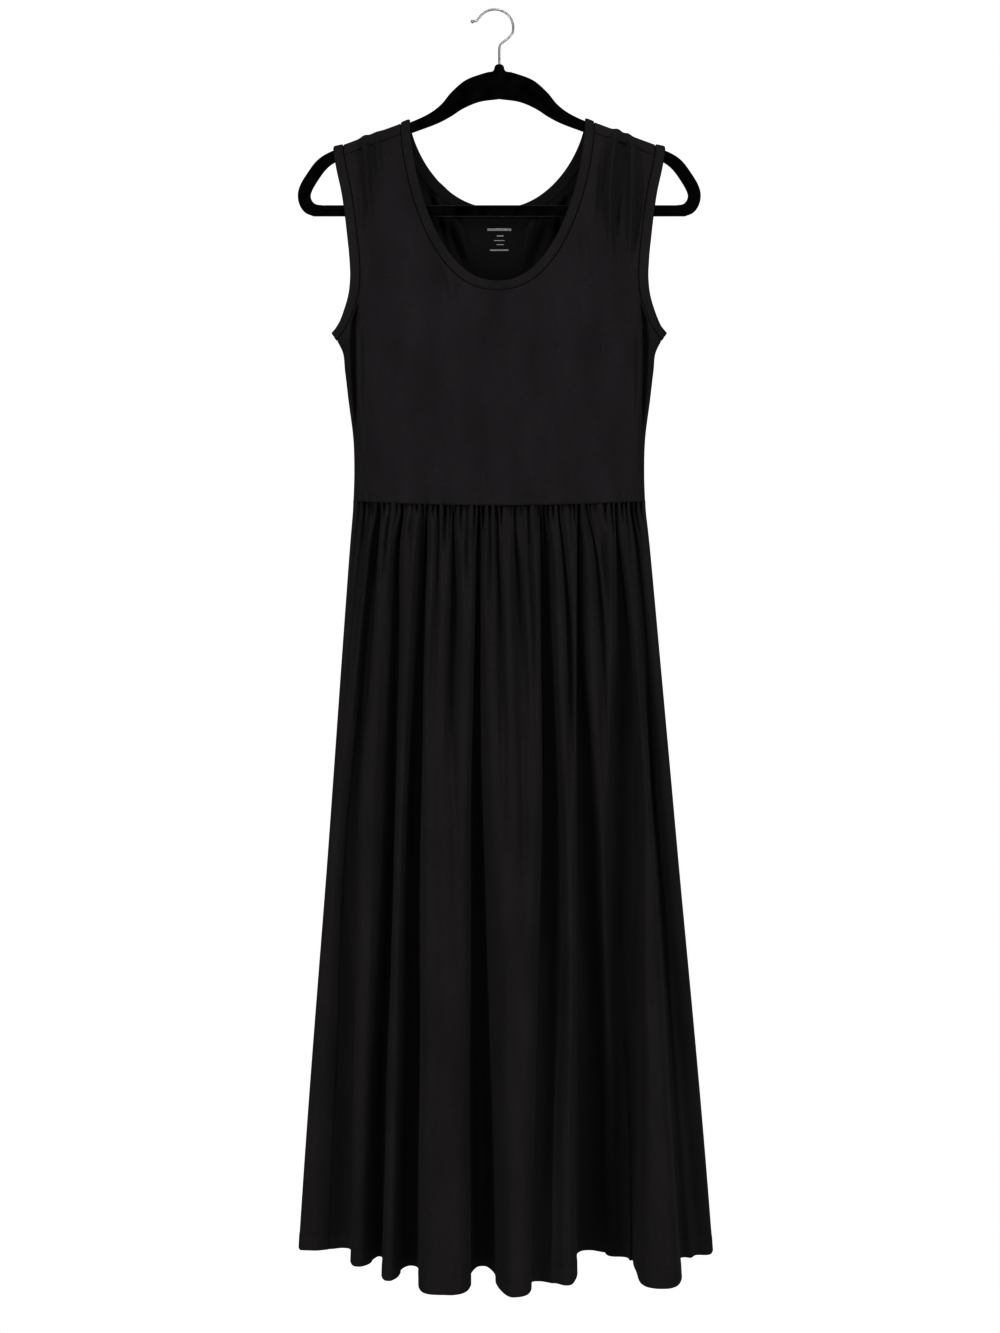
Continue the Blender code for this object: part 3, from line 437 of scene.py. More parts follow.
# Lights, in metres and watts
Light = namedtuple("Light", "name place aim size energy")
MIDDLE = (0.0, 0.0, -0.65)
LIGHTS = table(Light,
    ("softbox_left", (-1.5, -1.8, -0.55), MIDDLE, (0.9, 1.5), 128.0),
    ("softbox_right", (1.5, -1.8, -0.55), MIDDLE, (0.9, 1.5), 128.0),
    ("softbox_top", (0.0, -1.8, 1.8), (0.0, 0.0, -0.6), (1.2, 0.8), 190.0),
    ("back_left", (-2.3, 3.2, -0.4), MIDDLE, (0.9, 1.8), 150.0),
    ("back_right", (2.3, 3.2, -0.4), MIDDLE, (0.9, 1.8), 150.0),
)


# ---------------------------------------------------------------- curves and fields

def smooth_step(low, high, value):
    """0 below low, 1 above high, and an S curve between them."""
    t = np.clip((value - low) / (high - low), 0.0, 1.0)
    return t * t * (3.0 - 2.0 * t)


def through(knots, values, at):
    """A smooth curve through the values at the rising knots, read at the given places."""
    slopes = np.gradient(values, knots, axis=0)
    at = np.clip(at, knots[0], knots[-1])
    i = np.clip(np.searchsorted(knots, at, side="right") - 1, 0, len(knots) - 2)
    span = knots[i + 1] - knots[i]
    t = (at - knots[i]) / span
    if values.ndim > 1:
        span, t = span[:, None], t[:, None]
    rise = 3 * t**2 - 2 * t**3
    lean_in = (t - 2 * t**2 + t**3) * span * slopes[i]
    lean_out = (t**3 - t**2) * span * slopes[i + 1]
    return values[i] + (values[i + 1] - values[i]) * rise + lean_in + lean_out


def read_table(rows, column, z):
    """A column of a table that is ordered by falling z, read smoothly at z."""
    rising = rows[::-1]
    values = np.array([getattr(row, column) for row in rising], float)
    return through(np.array([row.z for row in rising], float), values, z)


def spline(points, steps, closed=False):
    """Points along a rounded line through the given ones."""
    pts = np.array(points, dtype=float)
    if closed:
        pts = np.concatenate([pts[-1:], pts, pts[:2]])
    else:
        pts = np.concatenate([2 * pts[:1] - pts[1:2], pts, 2 * pts[-1:] - pts[-2:-1]])
    t = (np.arange(steps) / steps).reshape(-1, *[1] * (pts.ndim - 1))
    parts = []
    for a, b, c, d in zip(pts, pts[1:], pts[2:], pts[3:]):
        parts.append(0.5 * (2 * b + (c - a) * t + (2 * a - 5 * b + 4 * c - d) * t**2
                            + (3 * b - a - 3 * c + d) * t**3))
    if not closed:
        parts.append(pts[-2:-1])
    return np.concatenate(parts)


def uneven(seed, waves, across, down=0.0):
    """A smooth uneven field, mostly within twice the waves' rise."""
    count, spread = 28, 0.6
    draw = np.random.default_rng(seed)
    total = np.zeros(np.broadcast(across, down).shape)
    for _ in range(count):
        turns_across = spread * draw.normal() / waves.across
        turns_down = spread * draw.normal() / waves.down
        phase = draw.uniform(0.0, 2.0 * math.pi)
        total += np.cos(2.0 * math.pi * (turns_across * across + turns_down * down) + phase)
    return waves.rise * total * math.sqrt(2.0 / count)


def walked(points):
    """Length along a line up to each of its points."""
    return np.concatenate([[0.0], np.cumsum(np.linalg.norm(np.diff(points, axis=0), axis=1))])


def unit(vectors):
    return vectors / np.maximum(np.linalg.norm(vectors, axis=-1, keepdims=True), 1e-9)


# ---------------------------------------------------------------- form of the bodice

def half_width(z):
    above = [row for row in BODICE_WIDTHS if row.z >= UNDERARM_Z]
    below = [row for row in BODICE_WIDTHS if row.z <= UNDERARM_Z]
    return np.where(z >= UNDERARM_Z, read_table(above, "half", z), read_table(below, "half", z))


def shoulder_z(x):
    return SHOULDER_Z - SHOULDER_SLOPE * (np.maximum(np.abs(x), SHOULDER_X) - SHOULDER_X)


def crease_rise(panel, x, z):
    """How far the creases lift the cloth. They are shallow where the neck's binding holds it."""
    total = np.zeros(np.broadcast(x, z).shape)
    scoop = panel.scoop
    from_neck = np.maximum(np.abs(x) - neck_half(scoop, z + 6.0), scoop.bottom_z - z)
    held = HELD + (1.0 - HELD) * smooth_step(0.0, HELD_WIDTH, from_neck)
    for crease in panel.creases:
        path = spline(crease.path, steps=8)
        top, end = path[0][1], path[-1][1]
        along = (z - top) / (end - top)
        centre = np.interp(-z, -path[:, 1], path[:, 0])
        across = (x - centre) / crease.half_width
        fade = smooth_step(0.0, crease.fade_in, along) * smooth_step(1.0, 0.35, along)
        total += crease.rise * fade * np.exp(-across * across)
    return total * held


def bodice_depth(panel, x, z, creased=True):
    """Depth of a bodice panel. Below the underarm it closes at the side seams."""
    share = np.minimum(np.abs(x) / half_width(z), 1.0)
    flatter = smooth_step(UNDERARM_Z, UNDERARM_Z + 1.4 * ARMHOLE_ROUND, z)
    to_round = np.clip((UNDERARM_Z + ARMHOLE_ROUND - z) / ARMHOLE_ROUND, 0.0, 1.0)
    edge = SIDE_GAP + (read_table(BODICE_DEPTHS, "edge", z) - SIDE_GAP) * np.sqrt(1.0 - to_round**2)
    middle = read_table(BODICE_DEPTHS, panel.column, z)
    power = 0.5 + STRAP_ROUND * flatter
    depth = edge + (middle - edge) * np.maximum(0.0, 1.0 - share**PANEL_ROUND) ** power
    below = shoulder_z(x) - z
    depth = FOLD_RADIUS + (depth - FOLD_RADIUS) * smooth_step(FORWARD_SEAM, 5 * FORWARD_SEAM, below)
    if creased:
        inside = smooth_step(1.0, 0.985, share)
        loose = smooth_step(LOOSE_FROM, LOOSE_BELOW, below) * inside
        depth = depth + inside * crease_rise(panel, x, z)
        for number, waves in enumerate(BODICE_WAVES):
            depth += loose * uneven(panel.seed + number, waves, x, z)
    least_here = smooth_step(BAR_Z - 8 * HANGER_CLEAR, BAR_Z - HANGER_CLEAR, z)
    return np.maximum(depth, SIDE_GAP + (LEAST_OVER_HANGER - SIDE_GAP) * least_here)


def neck_half(scoop, z):
    t = np.clip((z - scoop.bottom_z) / (NECK_TOP_Z - scoop.bottom_z), 0.0, 1.0)
    return NECK_HALF * (1.0 - (1.0 - t)**scoop.power) ** (1.0 / scoop.root)


def waist_z(x):
    return WAIST_Z + WAIST_RISE * (x / WAIST_HALF) ** 2


def side_edge(panel, side, rows, foot_drop):
    """Points up the side seam and the armhole."""
    top = SHOULDER_Z
    for _ in range(8):
        top = float(shoulder_z(half_width(np.array(top)))) - panel.drop
    foot = waist_z(WAIST_HALF) - foot_drop
    below = foot + (UNDERARM_Z - foot) * np.arange(rows.below) / rows.below
    beside = UNDERARM_Z + (top - UNDERARM_Z) * (np.arange(rows.above + 1) / rows.above) ** 1.25
    z = np.concatenate([below, beside])
    return side * half_width(z), z


def inner_edge(panel, side, rows, foot_drop):
    """Points up the centre line and the neckline, and the row where the neckline starts."""
    scoop = panel.scoop
    foot = waist_z(NECK_SHIFT) - foot_drop
    under = rows.below + round(rows.above * scoop.under)
    straight = foot + (scoop.bottom_z - foot) * np.arange(under) / under
    top = float(shoulder_z(NECK_SHIFT + side * NECK_HALF)) - panel.drop
    steps = rows.below + rows.above - under
    curved = scoop.bottom_z + (top - scoop.bottom_z) * (np.arange(steps + 1) / steps) ** 2
    x = np.concatenate([np.full(under, NECK_SHIFT), NECK_SHIFT + side * neck_half(scoop, curved)])
    return x, np.concatenate([straight, curved]), under


def bodice_normal(panel, x, z):
    """Outward normals of the plain panel, without its creases or the turn at its very edge."""
    share = x / half_width(z)
    inner = np.where(np.abs(share) > 0.9, share * EDGE_INSET, share)
    step = 0.01

    def at(s, height):
        place = s * half_width(height)
        return np.stack([place, -panel.facing * bodice_depth(panel, place, height, False), height], axis=-1)

    across = at(inner + step, z) - at(inner - step, z)
    up = at(inner, z + 1.0) - at(inner, z)
    return unit(np.cross(across, up) * panel.facing)


def bodice_half(panel, side):
    """Grid of points of half a bodice panel, from the side edge in, and its neckline's first row."""
    rows = CLOTH_ROWS
    x0, z0 = side_edge(panel, side, rows, SEAM_FOOT)
    x1, z1, under = inner_edge(panel, side, rows, SEAM_FOOT)
    number = np.arange(len(z0))[:, None]
    u = np.linspace(0.0, 1.0, BODICE_COLUMNS)[None, :]
    on_strap = smooth_step(rows.below, under + 0.2 * rows.above, number)
    along = (0.15 * u + 0.85 * u**1.7) * (1.0 - on_strap) + u * on_strap
    x = x0[:, None] + (x1 - x0)[:, None] * along
    z = z0[:, None] + (z1 - z0)[:, None] * along
    straight = waist_z(x0)[:, None] + (waist_z(x1) - waist_z(x0))[:, None] * along
    z = z + (waist_z(x) - straight) * np.maximum(0.0, 1.0 - number / rows.below)
    depth = bodice_depth(panel, x, z)
    over_seam = z - waist_z(x)
    depth += SEAM_BULGE * smooth_step(4.0, 0.5, over_seam)
    depth += uneven(61 + panel.facing, SEAM_PUCKERS, x, z) * smooth_step(15.0, 1.0, over_seam)
    if panel is FRONT:
        depth -= SEAM_DIP * smooth_step(2.5, 0.0, shoulder_z(x) - panel.drop - z + 1.0)
    depth[:rows.below + 1, 0] = SEAM_GAP
    return np.stack([x, -panel.facing * depth, z], axis=-1), under


def shoulder_flap(back_top, front_top):
    """Rows of the back panel that turn over the hanger's arm and run down to the forward seam."""
    rows = []
    for step in range(1, FLAP_ROWS + FLAP_STRAIGHT + 1):
        share = min(step, FLAP_ROWS) / FLAP_ROWS
        angle = math.pi * share
        x = back_top[:, 0] + (front_top[:, 0] - back_top[:, 0]) * share
        top = shoulder_z(x)
        lift = sum(t.lift * np.exp(-((x - t.x) / t.half_width) ** 2) for t in SHOULDER_TUCKS)
        radius = FOLD_RADIUS + lift * (0.35 + 0.65 * math.sin(angle))
        z = top - FOLD_RADIUS + radius * math.sin(angle)
        depth = radius * -math.cos(angle)
        if step > FLAP_ROWS:
            run = (step - FLAP_ROWS) / FLAP_STRAIGHT
            z = top - FOLD_RADIUS - (FORWARD_SEAM + FLAP_UNDER - FOLD_RADIUS) * run
            depth = radius + (np.maximum(-front_top[:, 1], radius) + FLAP_OVER - radius) * run
        rows.append(np.stack([x, -depth, z], axis=-1))
    return np.array(rows)


# Stations along the edges that are bound: pairs of a point and the cloth's normal there

def edge_stations(panel, x, z):
    points = np.stack([x, -panel.facing * bodice_depth(panel, x, z), z], axis=-1)
    return np.stack([points, bodice_normal(panel, x, z)], axis=1)


def flap_stations(back, front):
    """Stations over the shoulder, between the tops of the back's edge and the front's."""
    share = np.arange(1, EDGE_FLAP_ROWS) / EDGE_FLAP_ROWS
    across, up = np.cos(math.pi * share), np.sin(math.pi * share)
    x = back[-1, 0, 0] + (front[-1, 0, 0] - back[-1, 0, 0]) * share
    lean = math.copysign(math.atan(SHOULDER_SLOPE), x[0])
    points = np.stack([x, FOLD_RADIUS * across, shoulder_z(x) - FOLD_RADIUS + FOLD_RADIUS * up], axis=-1)
    normals = np.stack([math.sin(lean) * up, across, math.cos(lean) * up], axis=-1)
    return np.stack([points, normals], axis=1)


def neck_side(panel, side):
    x, z, under = inner_edge(panel, side, EDGE_ROWS, EDGE_FOOT)
    return edge_stations(panel, x[under:], z[under:])


def armhole_side(panel, side):
    x, z = side_edge(panel, side, EDGE_ROWS, EDGE_FOOT)
    return edge_stations(panel, x[EDGE_ROWS.below + 1:], z[EDGE_ROWS.below + 1:])


def neckline():
    """Stations round the neck, from the top of the left strap's front."""
    left, right = neck_side(FRONT, -1), neck_side(FRONT, 1)
    left_back, right_back = neck_side(BACK, -1), neck_side(BACK, 1)
    return np.concatenate([left[::-1], right[1:], flap_stations(right_back, right)[::-1],
                           right_back[::-1], left_back[1:], flap_stations(left_back, left)])


def armhole(side):
    """Stations round an armhole, from the underarm up the front and down the back."""
    front, back = armhole_side(FRONT, side), armhole_side(BACK, side)
    corner = [[(side * float(half_width(np.array(UNDERARM_Z))), 0.0, UNDERARM_Z),
               (side * math.cos(UNDERARM_LEAN), 0.0, -math.sin(UNDERARM_LEAN))]]
    return np.concatenate([corner, front, flap_stations(back, front)[::-1], back[::-1]])


# ---------------------------------------------------------------- form of the skirt

def level_weights(down):
    """How much each level counts at each row, for a smooth curve over the root of the length."""
    return through(np.sqrt(LEVELS), np.eye(len(LEVELS)), np.sqrt(np.clip(down, 0.0, 1.0)))


def meander(edges, ends, peak, sides, t):
    """Points on the rounded hump between two edges: places across and depths."""
    cosine, sine = -np.cos(np.pi * t), np.sin(np.pi * t)
    power = 2.0 / np.where(t < 0.5, sides[0], sides[1])
    share = 0.5 + 0.5 * np.sign(cosine) * np.abs(cosine) ** power
    base = ends[0] + (ends[1] - ends[0]) * share
    return edges[0] + (edges[1] - edges[0]) * share, base + (peak - base) * np.maximum(sine, 0.0) ** power


def skirt_levels(skirt):
    """Edges, end depths and peaks of the folds and valleys at each level under the seam."""
    levels = []
    for k, closing in enumerate(VALLEY_CLOSING):
        edges = [SIDE_LEFT[k + 1]]
        for left, right in [valley[k] for valley in skirt.valleys]:
            shrink = 0.5 * (right - left) * closing
            edges += [left + shrink, right - shrink]
        edges.append(SIDE_RIGHT[k + 1])
        peaks = [skirt.crests[0][k]]
        for floor, crest in zip(skirt.floors, skirt.crests[1:]):
            peaks += [floor[k], crest[k]]
        ends = [SIDE_GAP] + [0.5 * (a + b) for a, b in zip(peaks, peaks[1:])] + [SIDE_GAP]
        levels.append([np.array(values, float) for values in (edges, ends, peaks)])
    return levels


def skirt_columns(levels, squareness):
    """The segment of each column and its place in it, spaced evenly along the cloth."""
    fine = np.linspace(0.0, 1.0, 400)
    walks = []
    for s, power in enumerate(squareness):
        humps = [meander(edges[s:s + 2], ends[s:s + 2], peaks[s], power, fine)
                 for edges, ends, peaks in levels[1:]]
        walks.append(sum(walked(np.stack(hump, axis=-1)) for hump in humps))
    marks = np.concatenate([[0.0], np.cumsum([walk[-1] for walk in walks])])
    place = np.linspace(0.0, marks[-1], SKIRT_COLUMNS + 1)
    segment = np.clip(np.searchsorted(marks, place, side="right") - 1, 0, len(walks) - 1)
    t = np.array([np.interp(p - marks[s], walks[s], fine) for p, s in zip(place, segment)])
    return segment, t


def skirt_rows():
    """Shares of the length down the skirt, and which of the rows are turned up inside."""
    top = np.linspace(0.0, 1.0, SKIRT_TOP_ROWS) ** 1.3 * SKIRT_TOP_SHARE
    middle = np.linspace(top[-1], 1.0 - HEM_FROM / SKIRT_LENGTH, SKIRT_MIDDLE_ROWS)[1:]
    down = np.concatenate([top, middle, 1.0 - np.array(HEM_ROWS + INSIDE_ROWS) / SKIRT_LENGTH])
    return down, np.arange(len(down)) >= len(down) - len(INSIDE_ROWS)


def add_troughs(depth, x, down, troughs):
    for trough in troughs:
        along = (down - trough.start) / (trough.end - trough.start)
        centre = trough.x_top + (trough.x_end - trough.x_top) * np.clip(along, 0.0, 1.0)
        across = (x - centre) / trough.half_width
        fade_in = 1.0 if trough.start == 0.0 else smooth_step(0.0, 0.2, along)
        fade = fade_in * smooth_step(1.0, 0.45, along)
        depth = depth + trough.rise * fade * np.exp(-across * across)
    return depth


def fine_gathers(seed):
    """The many short gathers under the seam: places, half widths, rises and lengths."""
    draw = np.random.default_rng(seed)
    places = np.cumsum(draw.uniform(0.7, 1.3, 80) * GATHER_PITCH) - WAIST_HALF
    places = places[places < WAIST_HALF - 2.0]
    count = len(places)
    widths = draw.uniform(*GATHER_WIDTHS, count)
    rises = -draw.uniform(*GATHER_DEPTHS, count)
    lengths = GATHER_REACH * np.exp(GATHER_SPREAD * draw.normal(size=count))
    return np.stack([places, widths, rises, np.clip(lengths, *GATHER_LENGTHS)], axis=-1)


def join_folds(x, depth, level, sides, segment, first, last):
    """Replace a run of folds and valleys by one hump over the same columns."""
    edges, ends, peaks = level
    a, b = 2 * first, 2 * last
    inside = np.flatnonzero((segment >= a) & (segment <= b))
    power = (sides[a].left, sides[b].right)
    hump = meander((edges[a], edges[b + 1]), (ends[a], ends[b + 1]), max(peaks[a:b + 1:2]), power,
                   np.linspace(0.0, 1.0, 600))
    walk = walked(np.stack(hump, axis=-1))
    share = np.linspace(0.0, walk[-1], len(inside))
    x[inside], depth[inside] = (np.interp(share, walk, values) for values in hump)


def main_folds(skirt, down):
    """The folds that also the solid has: x, depth, the places at the seam and the hem's outline."""
    levels = skirt_levels(skirt)
    segment, t = skirt_columns(levels, skirt.sides)
    power = np.array(skirt.sides)[segment].T
    xs, depths = [], []
    both = np.array([segment, segment + 1])
    for number, level in enumerate(levels, 1):
        edges, ends, peaks = level
        x, depth = meander(edges[both], ends[both], peaks[segment], power, t)
        if number >= JOINED_FROM:
            for first, last in skirt.joined:
                join_folds(x, depth, level, skirt.sides, segment, first, last)
        xs.append(x)
        depths.append(depth)
    seam_x = xs[0] * WAIST_HALF / np.abs(np.where(xs[0] < 0, SIDE_LEFT[1], SIDE_RIGHT[1]))
    seam_depth = bodice_depth(skirt.panel, seam_x, np.full_like(seam_x, WAIST_Z), False) - SKIRT_IN
    weights = level_weights(down)
    x = weights @ np.array([seam_x] + xs)
    depth = weights @ np.array([seam_depth] + depths)
    return x, depth, seam_x, np.stack([xs[-1], depths[-1]], axis=-1)


def gathered(skirt, x, depth, seam_x, rows, side):
    """The depth with the gathers and puffs under the seam and the soft troughs below them."""
    for place, width, rise, reach in fine_gathers(skirt.seed):
        fade = smooth_step(1.0, 0.1, rows / reach)
        wider = width * (1.0 + GATHER_WIDENS * np.clip(rows / GATHER_WIDE_AT, 0.0, 1.0))
        depth = depth + rise * side * fade * np.exp(-((seam_x - place) / wider) ** 2)
    puff = PUFF + uneven(skirt.seed + 6, PUFF_WAVES, seam_x)
    depth = depth + puff * side * smooth_step(*PUFF_STARTS, rows) * np.exp(-rows / PUFF_REACH)
    return add_troughs(depth, x, rows, skirt.gathers + skirt.swags)


def hem_lift(seed, length, rows, turned):
    """How far the hem's layers lie out from the skirt's face, with the grooves of its stitches."""
    height = (1.0 - rows) * SKIRT_LENGTH
    lift = HEM_PROUD * smooth_step(17.6, 15.6, height)
    for line in HEM_STITCHES:
        lift = lift - STITCH_DIP * np.exp(-((height - line) / STITCH_DIP_HALF) ** 2)
    pucker = np.sin(length / PUCKER_TURN + uneven(seed, HEM_PUCKERS, length))
    lift = lift + PUCKER * pucker * np.exp(-((height - sum(HEM_STITCHES) / 2) / PUCKER_HALF) ** 2)
    lift = lift - HEM_EDGE_IN * smooth_step(1.2, 0.0, height)
    return np.where(turned[:, None], HEM_INSIDE + 0.15 * pucker, lift)


def skirt_grid(skirt):
    """Points of a skirt panel row by row, from the waist seam to the hem and up inside it."""
    down, turned = skirt_rows()
    rows = down[:, None]
    x, depth, seam_x, hem = main_folds(skirt, down)
    side = smooth_step(1.0, 0.97, np.abs(seam_x) / WAIST_HALF)
    depth = gathered(skirt, x, depth, seam_x, rows, side)
    free = smooth_step(0.03, 0.3, rows) * side
    length = walked(hem)
    run = rows * SKIRT_LENGTH
    x = x + free * uneven(skirt.seed + 3, SKIRT_SWAY, length, run)
    for number, waves in enumerate(SKIRT_WAVES, 4):
        depth = depth + free * uneven(skirt.seed + number, waves, length, run)

    top = waist_z(seam_x) + SKIRT_UP
    z = top + (HEM_Z - HEM_DROP * hem[:, 1] - top) * rows
    out_x, out_depth = -np.gradient(depth, axis=1), np.gradient(x, axis=1)
    share = hem_lift(skirt.seed + 6, length, rows, turned) / np.maximum(np.hypot(out_x, out_depth), 1e-6)
    depth = np.maximum(depth + share * out_depth, SIDE_GAP)
    depth[:, [0, -1]] = SEAM_GAP
    return np.stack([x + share * out_x, -skirt.panel.facing * depth, z], axis=-1), length


# ---------------------------------------------------------------- materials

def new_material(name, colour, roughness, metallic=0.0, sheen=0.0, sheen_roughness=0.5, specular=0.5):
    made = bpy.data.materials.new(name)
    made.use_nodes = True
    shader = made.node_tree.nodes["Principled BSDF"]
    for socket, value in (("Base Color", (*colour, 1.0)), ("Roughness", roughness),
                          ("Metallic", metallic), ("Sheen Weight", sheen),
                          ("Sheen Roughness", sheen_roughness), ("Specular IOR Level", specular)):
        shader.inputs[socket].default_value = value
    return made, made.node_tree, shader


def add_node(tree, kind, **settings):
    made = tree.nodes.new(kind)
    for name, value in settings.items():
        if name in made.inputs:
            made.inputs[name].default_value = value
        else:
            setattr(made, name, value)
    return made


def object_place(tree):
    return tree.nodes.new("ShaderNodeTexCoord").outputs["Object"]


def noise(tree, vector, scale, detail=2.0):
    made = add_node(tree, "ShaderNodeTexNoise", Scale=scale, Detail=detail)
    tree.links.new(vector, made.inputs["Vector"])
    return made.outputs["Fac"]


def math_node(tree, operation, first, second):
    made = tree.nodes.new("ShaderNodeMath")
    made.operation = operation
    for socket, value in zip(made.inputs, (first, second)):
        if isinstance(value, (int, float)):
            socket.default_value = value
        else:
            tree.links.new(value, socket)
    return made.outputs[0]


def weighted_sum(tree, *terms):
    """Sum of two outputs, each with its weight."""
    parts = [math_node(tree, "MULTIPLY", output, weight) for output, weight in terms]
    return math_node(tree, "ADD", *parts)


def bump(tree, shader, height, distance, strength):
    made = add_node(tree, "ShaderNodeBump", Distance=distance, Strength=strength)
    tree.links.new(height, made.inputs["Height"])
    tree.links.new(made.outputs["Normal"], shader.inputs["Normal"])


def mottle(tree, shader, factor, dark, light):
    """Colour that varies between two tones."""
    ramp = tree.nodes.new("ShaderNodeValToRGB")
    ramp.color_ramp.elements[0].position = 0.3
    ramp.color_ramp.elements[1].position = 0.7
    ramp.color_ramp.elements[0].color = (*dark, 1.0)
    ramp.color_ramp.elements[1].color = (*light, 1.0)
    tree.links.new(factor, ramp.inputs["Fac"])
    tree.links.new(ramp.outputs["Color"], shader.inputs["Base Color"])


def grey(value):
    return (value, value, value)


def knit_height(tree):
    """Rows of knit loops on the cloth's own coordinates."""
    place = add_node(tree, "ShaderNodeUVMap", uv_map="cloth")
    split = tree.nodes.new("ShaderNodeSeparateXYZ")
    tree.links.new(place.outputs["UV"], split.inputs[0])
    waves = []
    for axis, size in (("X", WALE), ("Y", COURSE)):
        turn = math_node(tree, "MULTIPLY", split.outputs[axis], 2 * math.pi / size)
        waves.append(math_node(tree, "SINE", turn, 0.0))
    return weighted_sum(tree, (waves[0], 0.7), (waves[1], 0.3))


def jersey_material(name, tones):
    made, tree, shader = new_material(name, tones[1], 0.8, sheen=0.014, sheen_roughness=0.5, specular=0.0)
    place = object_place(tree)
    stretch = add_node(tree, "ShaderNodeMapping", Scale=(1.0, 1.0, 0.3))
    tree.links.new(place, stretch.inputs["Vector"])
    cloudy = noise(tree, stretch.outputs["Vector"], 34.0, 3.0)
    fine = noise(tree, place, 900.0, 2.0)
    mottle(tree, shader, weighted_sum(tree, (cloudy, 0.35), (fine, 0.65)), *tones)
    loops = math_node(tree, "ADD", knit_height(tree), math_node(tree, "MULTIPLY", fine, 1.2))
    bump(tree, shader, loops, 0.00008, 0.35)
    return made


def mottled_material(name, colour, tones, grain, height, roughness, pile=None, **looks):
    """Two tones in clouds. Grain and pile are a noise's scale and detail, height is the bump's."""
    made, tree, shader = new_material(name, colour, roughness, **looks)
    place = object_place(tree)
    clouds = noise(tree, place, *grain)
    mottle(tree, shader, clouds, *tones)
    bump(tree, shader, noise(tree, place, *pile) if pile else clouds, *height)
    return made


def velvet_material():
    return mottled_material("velvet", grey(0.003), (grey(0.0003), grey(0.0022)), (70.0, 3.0), (0.0004, 0.6),
                            0.95, pile=(1400.0, 3.0), sheen=0.14, sheen_roughness=0.35, specular=0.0)


def chrome_material():
    return mottled_material("chrome_wire", grey(0.11), (grey(0.09), grey(0.13)), (260.0, 3.0),
                            (0.00006, 0.3), 0.5, metallic=1.0)


def thread_material():
    return mottled_material("thread", (0.007, 0.007, 0.008), (grey(0.006), (0.011, 0.011, 0.012)),
                            (2200.0, 1.0), (0.0001, 0.4), 0.7, specular=0.08)


def ink_material():
    return mottled_material("print_ink", grey(0.04), (grey(0.025), grey(0.048)), (700.0, 3.0),
                            (0.0001, 0.3), 0.6)


# ---------------------------------------------------------------- meshes

def in_metres(points):
    return (np.asarray(points, float).reshape(-1, 3) + (GARMENT_X, 0.0, 0.0)) * MM


def in_scene(name, data):
    made = bpy.data.objects.new(name, data)
    bpy.context.scene.collection.objects.link(made)
    return made


def new_mesh(name, points, quads):
    mesh = bpy.data.meshes.new(name)
    mesh.from_pydata(in_metres(points).tolist(), [], quads.tolist())
    return mesh


def new_object(name, data, materials, nodes=()):
    for material in materials if isinstance(materials, list) else [materials]:
        data.materials.append(material)
    made = in_scene(name, data)
    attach(made, ROOT)
    if nodes:
        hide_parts(*nodes)
    return made


def grid_quads(numbers, flip=False):
    """Faces between the points of a grid, given the number of each point in the mesh."""
    quads = np.stack([numbers[..., :-1, :-1], numbers[..., :-1, 1:], numbers[..., 1:, 1:],
                      numbers[..., 1:, :-1]], axis=-1).reshape(-1, 4)
    return quads[:, ::-1] if flip else quads


def add_uv(mesh, uv):
    corner = np.zeros(len(mesh.loops), np.int32)
    mesh.loops.foreach_get("vertex_index", corner)
    layer = mesh.uv_layers.new(name="cloth")
    layer.data.foreach_set("uv", (np.asarray(uv)[corner] * MM).astype(np.float32).ravel())


def cloth_object(name, points, quads, uv, materials, node):
    """A shell of cloth round a surface, in millimetres, with its right side and its wrong side. The wrong
    side takes the second, darker material: painted shade.
    """
    mesh = new_mesh(name, points, quads)
    add_uv(mesh, uv)
    mesh.shade_smooth()
    made = new_object(name, mesh, materials, [node])
    wall = made.modifiers.new("wall", "SOLIDIFY")
    wall.thickness = WALL * MM
    wall.offset = 0.0
    # the inner shell takes the second, darker material: painted shade on the wrong side
    wall.material_offset = 1
    return made


def bodice_piece(name, halves, facing, material, node):
    """The two halves of a panel, joined down the centre line under the neckline."""
    points, quads, centre = [], [], None
    count = 0
    for side, (grid, under) in zip((-1, 1), halves):
        numbers = np.arange(grid[..., 0].size).reshape(grid.shape[:2]) + count
        count += numbers.size
        if centre is None:
            centre = numbers[:under + 1, -1].copy()
        else:
            numbers[:under + 1, -1] = centre
        points.append(grid.reshape(-1, 3))
        quads.append(grid_quads(numbers, side * facing > 0))
    points, quads = np.concatenate(points), np.concatenate(quads)
    used, corners = np.unique(quads, return_inverse=True)
    points = points[used]
    return cloth_object(name, points, corners.reshape(-1, 4), points[:, [0, 2]], material, node)


def skirt_piece(name, grid, length, facing, material, node):
    across = np.broadcast_to(length, grid.shape[:2])
    uv = np.stack([across, grid[..., 2]], axis=-1).reshape(-1, 2)
    numbers = np.arange(across.size).reshape(across.shape)
    return cloth_object(name, grid, grid_quads(numbers, facing > 0), uv, material, node)


